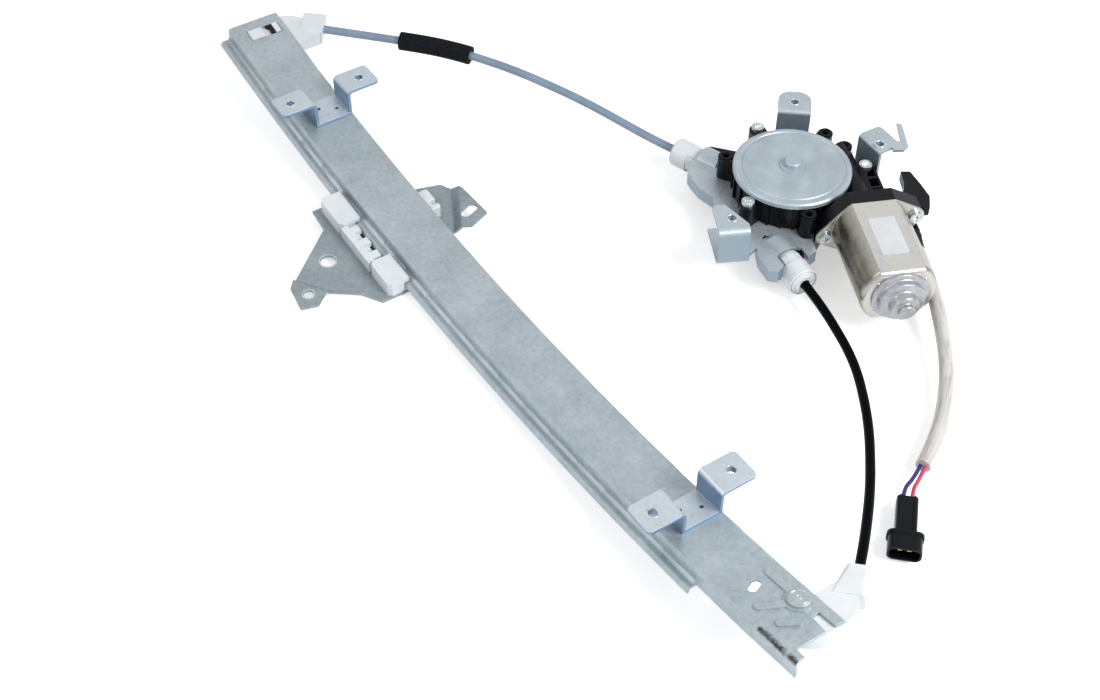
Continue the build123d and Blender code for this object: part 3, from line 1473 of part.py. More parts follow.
# Lead: sleeve from the housing's boss, two wires and the plug, all lying loose
lead_route = [
    tuple(motor_plane(0).from_local_coords(Vector(*lead_boss, 0))),
    tuple(motor_plane(28).from_local_coords(Vector(*lead_boss, 0))),
    (231.0, -152.0, -32.0),
    (206.5, -188.6, -37.0),
    (184.0, -212.0, -41.0),
    (160.0, -229.5, -41.0),
    (142.0, -239.0, -41.0),
]
with BuildPart() as lead_sleeve:
    with BuildLine() as route_line:
        conduit_path(lead_route)
    with BuildSketch(Plane(route_line.line @ 0, z_dir=route_line.line % 0)):
        Circle(sleeve_radius)
    sweep()
write("lead_sleeve", lead_sleeve)

plug_plane = Plane((117.4, -253.0, -40.6), x_dir=(0.716, -0.698, 0), z_dir=(-0.698, -0.716, 0))
wire_route = [(142.0, -239.0), (132.0, -244.3)]
for name, side in (("blue_wire", -1), ("red_wire", 1)):
    with BuildPart() as wire:
        with BuildLine() as route_line:
            conduit_path(
                [(x + side * 0.467 * wire_spread, y - side * 0.884 * wire_spread, -41.0) for x, y in wire_route]
                + [tuple(plug_plane.from_local_coords(Vector(side * plug_wire_spread, 0, z))) for z in (-8, 6)]
            )
        with BuildSketch(Plane(route_line.line @ 0, z_dir=route_line.line % 0)):
            Circle(lead_wire_radius)
        sweep()
    write(name, wire)

# Plug: stem round the wires, collar and open oval socket with two blade terminals
plug_face = plug_stem_length + plug_socket_length
with BuildPart() as plug_housing:
    with BuildSketch(plug_plane):
        RectangleRounded(plug_width, plug_height, 2)
    extrude(amount=plug_stem_length)
    with BuildSketch(plug_plane):
        with GridLocations(8, plug_height, 2, 2):
            Rectangle(1.2, 1.4)
    extrude(amount=plug_stem_length)
    with BuildSketch(plug_plane.offset(plug_stem_length)):
        RectangleRounded(plug_socket_width, plug_socket_height, 4)
    extrude(amount=plug_socket_length)
    with BuildSketch(plug_plane.offset(plug_stem_length)):
        RectangleRounded(plug_socket_width + 1.6, plug_socket_height + 0.6, 4)
    extrude(amount=2)
    with BuildSketch(plug_plane.offset(plug_stem_length + 2)):
        RectangleRounded(plug_socket_width - 2 * plug_wall, plug_socket_height - 2 * plug_wall, 4 - plug_wall)
    extrude(amount=plug_socket_length, mode=Mode.SUBTRACT)
    with BuildSketch(plug_plane):
        RectangleRounded(plug_width - 2 * plug_wall, plug_height - 2 * plug_wall, 1)
    extrude(amount=3, mode=Mode.SUBTRACT)
    with BuildSketch(plug_plane):
        with Locations((-plug_wire_spread, 0), (plug_wire_spread, 0)):
            Circle(lead_wire_radius + fit)
    extrude(amount=6, mode=Mode.SUBTRACT)
    with BuildSketch(plug_plane.offset(6)):
        with Locations((-plug_wire_spread, 0), (plug_wire_spread, 0)):
            Rectangle(2.3, 0.7)
    extrude(amount=plug_stem_length, mode=Mode.SUBTRACT)
write("plug_housing", plug_housing)

with BuildPart() as plug_terminals:
    with BuildSketch(plug_plane.offset(6)):
        with Locations((-plug_wire_spread, 0), (plug_wire_spread, 0)):
            Rectangle(2.3, 0.7)
    extrude(amount=plug_face - 6 - 3)
write("plug_terminals", plug_terminals)

with BuildPart() as plug_seal:
    with BuildSketch(plug_plane):
        RectangleRounded(plug_width - 2 * plug_wall, plug_height - 2 * plug_wall, 1)
        with Locations((-plug_wire_spread, 0), (plug_wire_spread, 0)):
            Circle(lead_wire_radius + fit, mode=Mode.SUBTRACT)
    extrude(amount=3)
write("plug_seal", plug_seal)
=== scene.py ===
"""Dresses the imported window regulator: finishes for every piece, cords, fine detail, light and camera.

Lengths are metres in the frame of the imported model: the origin is the centre of the four bolt holes of the
rail brackets, +Y runs up the rail, +Z points to the viewer and +X from the rail to the motor.
"""

import logging
from abc import ABC, abstractmethod
from collections.abc import Sequence
from dataclasses import dataclass, field
from enum import Enum
from math import asin, cos, pi, radians, sin, sqrt

import bmesh
import bpy
from mathutils import Matrix, Vector


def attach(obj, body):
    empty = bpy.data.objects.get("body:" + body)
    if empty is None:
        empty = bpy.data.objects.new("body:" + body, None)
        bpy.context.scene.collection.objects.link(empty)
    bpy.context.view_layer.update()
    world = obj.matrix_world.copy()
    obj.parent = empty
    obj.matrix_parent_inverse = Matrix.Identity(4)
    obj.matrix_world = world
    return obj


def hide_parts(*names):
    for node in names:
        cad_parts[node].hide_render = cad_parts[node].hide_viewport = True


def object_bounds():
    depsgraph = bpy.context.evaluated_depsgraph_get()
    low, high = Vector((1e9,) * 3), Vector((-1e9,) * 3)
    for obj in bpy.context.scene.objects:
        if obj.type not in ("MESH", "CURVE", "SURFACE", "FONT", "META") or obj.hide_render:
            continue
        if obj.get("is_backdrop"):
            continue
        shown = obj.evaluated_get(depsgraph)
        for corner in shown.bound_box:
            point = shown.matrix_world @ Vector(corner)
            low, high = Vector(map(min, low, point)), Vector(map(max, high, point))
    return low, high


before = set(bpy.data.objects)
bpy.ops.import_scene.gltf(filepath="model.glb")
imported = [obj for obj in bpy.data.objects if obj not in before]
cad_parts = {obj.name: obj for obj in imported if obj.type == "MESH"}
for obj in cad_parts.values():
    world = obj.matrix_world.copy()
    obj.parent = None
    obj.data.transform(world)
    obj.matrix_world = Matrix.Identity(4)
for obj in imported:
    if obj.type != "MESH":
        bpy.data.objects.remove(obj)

log = logging.getLogger("window_regulator")

Point = tuple[float, float, float]
Color = tuple[float, float, float]
Span = tuple[float, float]
Outline = Sequence[tuple[float, float]]
Stops = Sequence[tuple[float, Color]]
Socket = bpy.types.NodeSocket
Value = Socket | float | Sequence[float]

WHITE: Color = (1.0, 1.0, 1.0)
UP: Point = (0.0, 0.0, 1.0)

NODES_OF_FINISH: dict[str, tuple[str, ...]] = {
    "zinc_rail": ("guide_rail",),
    "zinc_bright": ("upper_bracket", "lower_bracket"),
    "zinc_plate": ("mounting_plate",),
    "zinc_carrier": ("carrier_plate",),
    "nylon": (
        "upper_cable_guide", "lower_cable_guide", "upper_ferrule", "lower_ferrule", "upper_slider",
        "lower_slider", "slider_bar", "side_glide", "cable_drum",
    ),
    "black_plastic": ("gear_housing", "drum_cover", "plug_housing", "brush_card", "cable_anchor"),
    "acetal": ("worm_wheel",),
    "rubber": ("dampers", "plug_seal"),
    "carbon": ("brushes",),
    "black_sheath": ("lower_conduit",),
    "grey_sheath": ("upper_conduit",),
    "foam": ("foam_sleeve",),
    "passivated": ("motor_can",),
    "disc_steel": ("gear_cover",),
    "ground_steel": (
        "motor_shaft", "output_shaft", "worm", "upper_cable", "lower_cable", "wound_wire",
        "tension_springs", "cable_nipples",
    ),
    "dull_steel": ("armature_core", "guide_rivet", "drive_hub"),
    "screw_zinc": ("plate_screws", "motor_screws"),
    "copper": ("armature_coils", "commutator"),
    "bronze": ("worm_bushes", "rear_bush"),
    "brass": ("plug_terminals",),
    "ferrite": ("magnets",),
    "paper": ("motor_label",),
    "clear_sleeve": ("lead_sleeve",),
    "blue_insulation": ("blue_wire",),
    "red_insulation": ("red_wire",),
}


class Body(Enum):
    """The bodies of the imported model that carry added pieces."""

    FRAME = "frame"
    CARRIER = "carrier"


@dataclass
class NodeSheet:
    """The node tree of a material or a world, with short calls that add and join its nodes."""

    owner: bpy.types.Material | bpy.types.World

    def __post_init__(self) -> None:
        """Empties the tree."""
        self.owner.use_nodes = True
        self.owner.node_tree.nodes.clear()

    def node(self, kind: str, *values: Value, **settings: object) -> bpy.types.Node:
        """Adds a node.

        Args:
            kind: The node's type name without its ShaderNode prefix.
            values: Sockets to link or constants to set, for its inputs in their order.
            settings: Its attributes in small letters, and inputs with a capital and _ for each space.

        Returns:
            The new node.
        """
        tree = self.owner.node_tree
        made = tree.nodes.new("ShaderNode" + kind)
        for key, value in settings.items():
            if key.islower():
                setattr(made, key, value)
        fed = list(zip([socket for socket in made.inputs if socket.enabled], values))
        for key, value in settings.items():
            if not key.islower():
                fed.append((made.inputs[key.replace("_", " ")], value))
        for socket, value in fed:
            if isinstance(value, Socket):
                tree.links.new(value, socket)
            else:
                socket.default_value = (*value, 1.0) if socket.type == "RGBA" else value
        return made

    def result(self, kind: str, *values: Value, **settings: object) -> Socket:
        """Adds a node, as above, and gives the socket of its result."""
        return next(socket for socket in self.node(kind, *values, **settings).outputs if socket.enabled)

    def math(self, operation: str, *values: Value) -> Socket:
        """Joins numbers by arithmetic."""
        return self.result("Math", *values, operation=operation)

    def vector(self, operation: str, *values: Value) -> Socket:
        """Joins vectors by arithmetic."""
        return self.result("VectorMath", *values, operation=operation)

    def here(self) -> Socket:
        """The coordinates of the row frame."""
        return self.node("TexCoord").outputs["Object"]

    def facing(self, direction: Point) -> Socket:
        """How far the surface faces a fixed direction of the row frame, as a cosine."""
        return self.vector("DOT_PRODUCT", self.node("TexCoord").outputs["Normal"], direction)

    def bent(self, centre: Point, turn: float) -> Socket:
        """Coordinates that run round a centre: across the bend, along it and up.

        Args:
            centre: The bend's centre.
            turn: Length that stands for one radian along the bend.

        Returns:
            The socket that gives them.
        """
        x, y, z = self.node("SeparateXYZ", self.vector("SUBTRACT", self.here(), centre)).outputs
        squares = self.math("ADD", self.math("MULTIPLY", x, x), self.math("MULTIPLY", y, y))
        along = self.math("MULTIPLY", self.math("ARCTAN2", y, x), turn)
        return self.result("CombineXYZ", self.math("SQRT", squares), along, z)

    def noise(
        self, scale: float, detail: float, roughness: float = 0.5, distortion: float = 0.0,
        where: Socket | None = None,
    ) -> Socket:
        """A noise texture's value.

        Args:
            scale: Features per metre.
            detail: Octaves.
            roughness: Weight of the finer octaves.
            distortion: How far the pattern is bent.
            where: Other coordinates than the row frame's, if there are any.

        Returns:
            The socket of its value, from 0 to 1.
        """
        return self.result(
            "TexNoise", Vector=where or self.here(), Scale=scale, Detail=detail, Roughness=roughness,
            Distortion=distortion,
        )

    def cells(self, scale: float) -> Socket:
        """The distance to the middle of the nearest cell, with so many cells per metre."""
        return self.result("TexVoronoi", Vector=self.here(), Scale=scale)

    def ramp(self, source: Socket, stops: Stops) -> Socket:
        """Turns a value into a colour.

        Args:
            source: The value.
            stops: Positions and their colours.

        Returns:
            The socket of the colour.
        """
        made = self.node("ValToRGB", source)
        elements = made.color_ramp.elements
        while len(elements) < len(stops):
            elements.new(0.5)
        for element, (position, color) in zip(elements, stops):
            element.position = position
            element.color = (*color, 1.0)
        return made.outputs["Color"]

    def spread(self, source: Socket, span: Span, target: Span) -> Socket:
        """Maps a span of a value to a target span.

        Args:
            source: The value.
            span: Where the span starts and ends.
            target: The results at these two ends.

        Returns:
            The socket of the result.
        """
        start, end = span
        low, high = target
        return self.result("MapRange", Value=source, From_Min=start, From_Max=end, To_Min=low, To_Max=high)

    def blend(self, factor: Value, first: Value, second: Value) -> Socket:
        """Mixes so much of a second colour into a first."""
        return self.result("Mix", factor, first, second, data_type="RGBA")

    def bump(self, height: Socket, strength: float, depth: float, edge: float = 0.0) -> Socket:
        """A normal bent by a height.

        Args:
            height: The height's socket.
            strength: How strongly it shows.
            depth: Its depth in metres.
            edge: Radius to which sharp edges look broken, in metres.

        Returns:
            The socket of the normal.
        """
        base = {"Normal": self.result("Bevel", Radius=edge, samples=4)} if edge else {}
        return self.result("Bump", Strength=strength, Distance=depth, Height=height, **base)

    def shader(
        self, color: Socket, roughness: Socket, metallic: float, normal: Socket, **constants: object
    ) -> bpy.types.Material:
        """Adds the surface shader and the output.

        Args:
            color: The colour's socket.
            roughness: The roughness's socket.
            metallic: Metalness.
            normal: The bent normal's socket.
            constants: Other inputs of the shader, named as for a node.

        Returns:
            The finished material.
        """
        surface = self.result(
            "BsdfPrincipled", Base_Color=color, Roughness=roughness, Metallic=metallic, Normal=normal,
            **constants,
        )
        self.node("OutputMaterial", Surface=surface)
        return self.owner

    def shown(self) -> Socket:
        """1 for what the camera, gloss and glass see, and 0 for light that falls on the part."""
        path = self.node("LightPath").outputs
        seen = self.math("MAXIMUM", path["Is Camera Ray"], path["Is Glossy Ray"])
        return self.math("MAXIMUM", seen, path["Is Transmission Ray"])


@dataclass(frozen=True)
class Finish(ABC):
    """What a piece's surface looks like."""

    name: str

    def sheet(self) -> NodeSheet:
        """The empty sheet of its material."""
        return NodeSheet(bpy.data.materials.new(self.name))

    @abstractmethod
    def build(self) -> bpy.types.Material:
        """Returns the material."""


@dataclass(frozen=True)
class GreaseSmear:
    """A ragged streak of grease between two points, with half its width."""

    start: Point
    end: Point
    width: float
    color: Color = (0.012, 0.010, 0.006)
    ragged_scale: float = 420.0
    strength: float = 0.93

    def over(self, sheet: NodeSheet, color: Socket) -> Socket:
        """Lays the grease over a colour.

        Args:
            sheet: The material's sheet.
            color: The colour's socket.

        Returns:
            The socket of the smeared colour.
        """
        along = Vector(self.end) - Vector(self.start)
        offset = sheet.vector("SUBTRACT", sheet.here(), self.start)
        reach = sheet.vector("DOT_PRODUCT", offset, tuple(along / along.length_squared))
        nearest = sheet.vector("SCALE", tuple(along), sheet.result("Clamp", reach))
        ragged = sheet.math("MULTIPLY", sheet.noise(self.ragged_scale, 4.0, 0.7), 1.3 * self.width)
        edge = sheet.math("ADD", sheet.vector("DISTANCE", offset, nearest), ragged)
        amount = sheet.spread(edge, (0.75 * self.width, 1.4 * self.width), (self.strength, 0.0))
        return sheet.blend(amount, color, self.color)


@dataclass(frozen=True)
class ZincFinish(Finish):
    """Zinc-plated pressed steel: cool grey and mottled, with broken edges, scratches, specks and grease.

    A speckle under 1 stands for a cleaner plate, and a wall colour is a painted reflection that tints the
    faces that stand upright.
    """

    dark: Color = (0.305, 0.36, 0.395)
    light: Color = (0.45, 0.51, 0.55)
    scratch: Color = (0.66, 0.70, 0.73)
    speck: Color = (0.17, 0.19, 0.20)
    # Painted reflection: the darker blue-grey that upright faces take on.
    wall: Color | None = None
    roughness: float = 0.44
    metallic: float = 0.5
    speckle: float = 1.0
    cloud_scale: float = 34.0
    mottle_scale: float = 330.0
    scratch_scale: float = 1300.0
    speck_scale: float = 520.0
    depth: float = 0.00012
    edge: float = 0.0005
    grease: Sequence[GreaseSmear] = ()

    def build(self) -> bpy.types.Material:
        """Returns the material."""
        sheet = self.sheet()
        clouds = sheet.noise(self.cloud_scale, 4.0, 0.6)
        mottle = sheet.noise(self.mottle_scale, 4.0, 0.68)
        scratches = sheet.noise(self.scratch_scale, 3.0, 0.7)
        mixed = sheet.math("ADD", sheet.math("MULTIPLY", clouds, 0.45), sheet.math("MULTIPLY", mottle, 0.55))
        color = sheet.ramp(mixed, ((0.36, self.dark), (0.64, self.light)))
        scratched = sheet.spread(scratches, (0.5, 0.78), (0.0, 0.26 * self.speckle))
        color = sheet.blend(scratched, color, self.scratch)
        dots = sheet.spread(sheet.cells(self.speck_scale), (0.03, 0.12), (0.6 * self.speckle**2, 0.0))
        dust = sheet.math("MULTIPLY", dots, sheet.spread(mottle, (0.56, 0.62), (0.0, 1.0)))
        color = sheet.blend(dust, color, self.speck)
        # Painted reflection: the less a face points up, the more it is tinted towards the wall colour.
        if self.wall:
            upward = sheet.math("ABSOLUTE", sheet.facing(UP))
            color = sheet.blend(sheet.spread(upward, (0.15, 0.7), (0.75, 0.0)), color, self.wall)
        for smear in self.grease:
            color = smear.over(sheet, color)
        roughness = sheet.spread(mottle, (0.3, 0.7), (self.roughness - 0.08, self.roughness + 0.1))
        grain = sheet.math("MULTIPLY", scratches, 0.4)
        height = sheet.math("ADD", grain, sheet.math("MULTIPLY", mottle, 0.9))
        normal = sheet.bump(height, 0.22 * self.speckle**2, self.depth, self.edge)
        return sheet.shader(color, roughness, self.metallic, normal, Specular_IOR_Level=0.5)


@dataclass(frozen=True)
class MouldedFinish(Finish):
    """Moulded plastic or rubber: a flat colour broken by flow marks, with a fine moulded texture."""

    color: Color
    shade: Color
    roughness: float = 0.45
    specular: float = 0.5
    subsurface: float = 0.0
    subsurface_reach: Point = (0.0012, 0.0011, 0.001)
    flow_scale: float = 45.0
    texture_scale: float = 1400.0
    depth: float = 0.00006
    edge: float = 0.0005

    def build(self) -> bpy.types.Material:
        """Returns the material."""
        sheet = self.sheet()
        flow = sheet.noise(self.flow_scale, 3.0, distortion=1.2)
        fine = sheet.noise(self.texture_scale, 2.0)
        return sheet.shader(
            sheet.ramp(flow, ((0.3, self.shade), (0.7, self.color))),
            sheet.spread(fine, (0.0, 1.0), (self.roughness - 0.06, self.roughness + 0.08)),
            0.0,
            sheet.bump(fine, 0.35, self.depth, self.edge),
            Specular_IOR_Level=self.specular,
            Subsurface_Weight=self.subsurface,
            Subsurface_Radius=self.subsurface_reach,
        )


@dataclass(frozen=True)
class SheathFinish(Finish):
    """Extruded cable sheath or insulation: smooth, with faint dull patches."""

    color: Color
    shade: Color
    roughness: float = 0.25
    specular: float = 0.5
    patch_scale: float = 90.0
    texture_scale: float = 1100.0
    depth: float = 0.00004

    def build(self) -> bpy.types.Material:
        """Returns the material."""
        sheet = self.sheet()
        patches = sheet.noise(self.patch_scale, 3.0, 0.6)
        return sheet.shader(
            sheet.ramp(patches, ((0.35, self.shade), (0.65, self.color))),
            sheet.spread(patches, (0.3, 0.7), (self.roughness, self.roughness + 0.14)),
            0.0,
            sheet.bump(sheet.noise(self.texture_scale, 2.0), 0.2, self.depth),
            Specular_IOR_Level=self.specular,
        )


@dataclass(frozen=True)
class FoamFinish(Finish):
    """Closed-cell foam: black, matt and pitted."""

    pit: Color = (0.003, 0.003, 0.004)
    skin: Color = (0.013, 0.014, 0.018)
    cell_scale: float = 900.0
    clump_scale: float = 220.0
    depth: float = 0.0003
    specular: float = 0.06

    def build(self) -> bpy.types.Material:
        """Returns the material."""
        sheet = self.sheet()
        cells = sheet.cells(self.cell_scale)
        clumps = sheet.noise(self.clump_scale, 3.0, 0.6)
        height = sheet.math("ADD", cells, sheet.math("MULTIPLY", clumps, 0.8))
        return sheet.shader(
            sheet.ramp(cells, ((0.1, self.pit), (0.6, self.skin))),
            sheet.spread(clumps, (0.0, 1.0), (0.75, 0.95)),
            0.0,
            sheet.bump(height, 0.35, self.depth),
            Specular_IOR_Level=self.specular,
        )


@dataclass(frozen=True)
class PassivatedFinish(Finish):
    """Zinc-passivated can with a faint bloom and drawn lines: top and end painted bright as reflection, sides
    painted dark olive as shade.
    """

    axis: Point
    # Painted reflection: the lit tones of faces that point up or to the can's end.
    flats: Stops = (
        (0.30, (0.50, 0.52, 0.56)),
        (0.42, (0.60, 0.60, 0.56)),
        (0.52, (0.58, 0.55, 0.54)),
        (0.60, (0.60, 0.59, 0.53)),
        (0.72, (0.46, 0.50, 0.58)),
    )
    # Painted shade: the dark olive tones of the can's sides.
    olive_shaded_sides: Stops = (
        (0.30, (0.21, 0.20, 0.17)),
        (0.46, (0.155, 0.14, 0.095)),
        (0.58, (0.22, 0.19, 0.15)),
        (0.70, (0.17, 0.17, 0.16)),
    )
    line: Color = (0.22, 0.20, 0.16)
    bloom_scale: float = 58.0
    mottle_scale: float = 210.0
    line_scale: float = 500.0
    metallic: float = 0.8
    depth: float = 0.00004
    edge: float = 0.0011

    def build(self) -> bpy.types.Material:
        """Returns the material."""
        sheet = self.sheet()
        bloom = sheet.noise(self.bloom_scale, 3.0, distortion=1.6)
        mottle = sheet.noise(self.mottle_scale, 4.0, 0.62)
        lines = sheet.noise(self.line_scale, 2.0)
        # Painted light by orientation: faces that point up or to the end take the lit tones, the rest take
        # the shaded ones.
        upward = sheet.spread(sheet.facing(UP), (0.58, 0.98), (0.0, 1.0))
        endward = sheet.spread(sheet.facing(self.axis), (0.3, 0.9), (0.0, 0.75))
        bright = sheet.math("MAXIMUM", upward, endward)
        color = sheet.blend(bright, sheet.ramp(bloom, self.olive_shaded_sides), sheet.ramp(bloom, self.flats))
        color = sheet.blend(sheet.spread(lines, (0.5, 0.8), (0.0, 0.06)), color, self.line)
        roughness = sheet.spread(mottle, (0.3, 0.7), (0.18, 0.3))
        normal = sheet.bump(lines, 0.03, self.depth, self.edge)
        return sheet.shader(color, roughness, self.metallic, normal, Specular_IOR_Level=0.5)


@dataclass(frozen=True)
class TurnedFinish(Finish):
    """Turned metal: clean, with rings about an upright axis through a centre."""

    color: Color
    centre: Point
    shading: float = 0.72
    metallic: float = 0.35
    roughness: float = 0.4
    ring_scale: float = 1500.0
    patch_scale: float = 60.0
    depth: float = 0.00006

    def build(self) -> bpy.types.Material:
        """Returns the material."""
        sheet = self.sheet()
        offset = sheet.vector("SUBTRACT", sheet.here(), self.centre)
        radius = sheet.vector("LENGTH", sheet.vector("MULTIPLY", offset, (1.0, 1.0, 0.0)))
        rings = sheet.result("TexNoise", W=radius, Scale=self.ring_scale, Detail=3.0, noise_dimensions="1D")
        patches = sheet.noise(self.patch_scale, 4.0, 0.6)
        shade = tuple(self.shading * channel for channel in self.color)
        color = sheet.ramp(patches, ((0.3, shade), (0.7, self.color)))
        color = sheet.blend(sheet.spread(rings, (0.4, 0.8), (0.0, 0.3)), color, shade)
        roughness = sheet.spread(patches, (0.3, 0.7), (self.roughness - 0.05, self.roughness + 0.1))
        return sheet.shader(color, roughness, self.metallic, sheet.bump(rings, 0.25, self.depth))


@dataclass(frozen=True)
class PlainMetalFinish(Finish):
    """Small metal pieces: one colour with tarnish and fine scratches along the rail."""

    color: Color
    tarnish: Color
    metallic: float = 0.85
    roughness: float = 0.32
    patch_scale: float = 240.0
    scratch_scale: float = 1500.0
    scratch_stretch: Point = (1.0, 0.2, 1.0)
    depth: float = 0.00004

    def build(self) -> bpy.types.Material:
        """Returns the material."""
        sheet = self.sheet()
        patches = sheet.noise(self.patch_scale, 4.0, 0.6)
        stretched = sheet.vector("MULTIPLY", sheet.here(), self.scratch_stretch)
        scratches = sheet.noise(self.scratch_scale, 2.0, 0.7, where=stretched)
        return sheet.shader(
            sheet.ramp(patches, ((0.35, self.tarnish), (0.65, self.color))),
            sheet.spread(scratches, (0.0, 1.0), (self.roughness - 0.08, self.roughness + 0.12)),
            self.metallic,
            sheet.bump(scratches, 0.15, self.depth),
        )


@dataclass(frozen=True)
class PaperFinish(Finish):
    """A bare white label: paper fibre under a thin varnish."""

    color: Color = (0.65, 0.67, 0.69)
    stain: Color = (0.60, 0.62, 0.63)
    fibre_scale: float = 1300.0
    stain_scale: float = 70.0
    depth: float = 0.00004

    def build(self) -> bpy.types.Material:
        """Returns the material."""
        sheet = self.sheet()
        fibre = sheet.noise(self.fibre_scale, 4.0, 0.7)
        stains = sheet.noise(self.stain_scale, 3.0, 0.6)
        color = sheet.ramp(stains, ((0.3, self.stain), (0.65, self.color)))
        roughness = sheet.spread(fibre, (0.0, 1.0), (0.32, 0.5))
        return sheet.shader(color, roughness, 0.0, sheet.bump(fibre, 0.15, self.depth))


@dataclass(frozen=True)
class ClearSleeveFinish(Finish):
    """Milky sleeve pulled over the wires, with fine creases that follow its bend."""

    tones: Stops = ((0.34, (0.40, 0.365, 0.335)), (0.46, (0.53, 0.495, 0.465)), (0.6, (0.61, 0.58, 0.555)))
    haze: Color = (0.64, 0.615, 0.59)
    bend_centre: Point = (0.0618, -0.0654, 0.0)
    streak_length: float = 0.012
    crease_scale: float = 620.0
    haze_scale: float = 60.0
    depth: float = 0.0005

    def build(self) -> bpy.types.Material:
        """Returns the material."""
        sheet = self.sheet()
        along = sheet.bent(self.bend_centre, self.streak_length)
        creases = sheet.noise(self.crease_scale, 3.0, 0.55, where=along)
        haze = sheet.spread(sheet.noise(self.haze_scale, 3.0, 0.6), (0.4, 0.7), (0.0, 0.35))
        return sheet.shader(
            sheet.blend(haze, sheet.ramp(creases, self.tones), self.haze),
            sheet.spread(creases, (0.0, 1.0), (0.25, 0.4)),
            0.0,
            sheet.bump(creases, 0.5, self.depth),
            Coat_Weight=0.15,
        )


def put(name: str, data: bpy.types.ID) -> bpy.types.Object:
    """Puts an object with its data into the scene.

    Args:
        name: The object's name.
        data: Its mesh, curve, lamp or camera.

    Returns:
        The object.
    """
    item = bpy.data.objects.new(name, data)
    bpy.context.scene.collection.objects.link(item)
    return item


def matrix_of(origin: Vector, across: Point, along: Point, out: Point) -> Matrix:
    """A place's matrix.

    Args:
        origin: Its origin.
        across: Its x axis.
        along: Its y axis.
        out: Its z axis.

    Returns:
        The matrix.
    """
    made = Matrix((across, along, out)).transposed().to_4x4()
    made.translation = origin
    return made


def top_along(node: str, place: Matrix) -> float:
    """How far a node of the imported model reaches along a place's z axis."""
    inverse = place.inverted()
    return max((inverse @ vertex.co).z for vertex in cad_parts[node].data.vertices)


@dataclass
class RailSite:
    """Places on the rail's web, which follows one arc."""

    radius: float = 1.6
    apex_height: float = -0.03132

    def place(self, x: float, y: float, lift: float = 0.0) -> Matrix:
        """A place on the web: z out of it, y up the rail.

        Args:
            x: Distance across the rail.
            y: Station along the row frame's y axis.
            lift: Height above the web.

        Returns:
            Its matrix.
        """
        turn = asin(y / self.radius)
        out = Vector((0.0, -sin(turn), cos(turn)))
        height = self.apex_height + self.radius - sqrt(self.radius**2 - y**2)
        origin = Vector((x, y, height)) + lift * out
        return matrix_of(origin, (1.0, 0.0, 0.0), (0.0, cos(turn), sin(turn)), out)


@dataclass
class UnitSite:
    """Places on the drum unit and on its motor."""

    centre: Point = (0.2156, -0.0257, 0.0)
    turn: float = radians(-24.5)
    motor_across: float = 0.038
    motor_start: float = -0.0496
    motor_height: float = -0.0153

    @property
    def motor_axis(self) -> Point:
        """The direction in which the motor's can points."""
        return (sin(self.turn), -cos(self.turn), 0.0)

    def place(self, x: float, y: float, z: float, spin: float = 0.0) -> Matrix:
        """A level place in the unit's own axes.

        Args:
            x: Distance across the worm.
            y: Distance along the worm, away from the motor.
            z: Height in the row frame.
            spin: Further turn about z.

        Returns:
            Its matrix.
        """
        origin = Vector(self.centre) + Matrix.Rotation(self.turn, 4, "Z") @ Vector((x, y, z))
        return Matrix.Translation(origin) @ Matrix.Rotation(self.turn + spin, 4, "Z")

    def facing(self, x: float, y: float, z: float, angle: float) -> Matrix:
        """An upright place that faces a direction: z outwards, y up.

        Args:
            x: Distance across the worm.
            y: Distance along the worm.
            z: Height in the row frame.
            angle: The direction in the unit's own axes.

        Returns:
            Its matrix.
        """
        turn = self.turn + angle
        origin = self.place(x, y, z).translation
        return matrix_of(origin, (-sin(turn), cos(turn), 0.0), UP, (cos(turn), sin(turn), 0.0))

    def motor(self, across: float, up: float, along: float) -> Matrix:
        """A place across the motor's axis, so far along it from the flange: z to its end, y up."""
        made = self.facing(self.motor_across, self.motor_start - along, self.motor_height, -pi / 2)
        return made @ Matrix.Translation((across, up, 0.0))


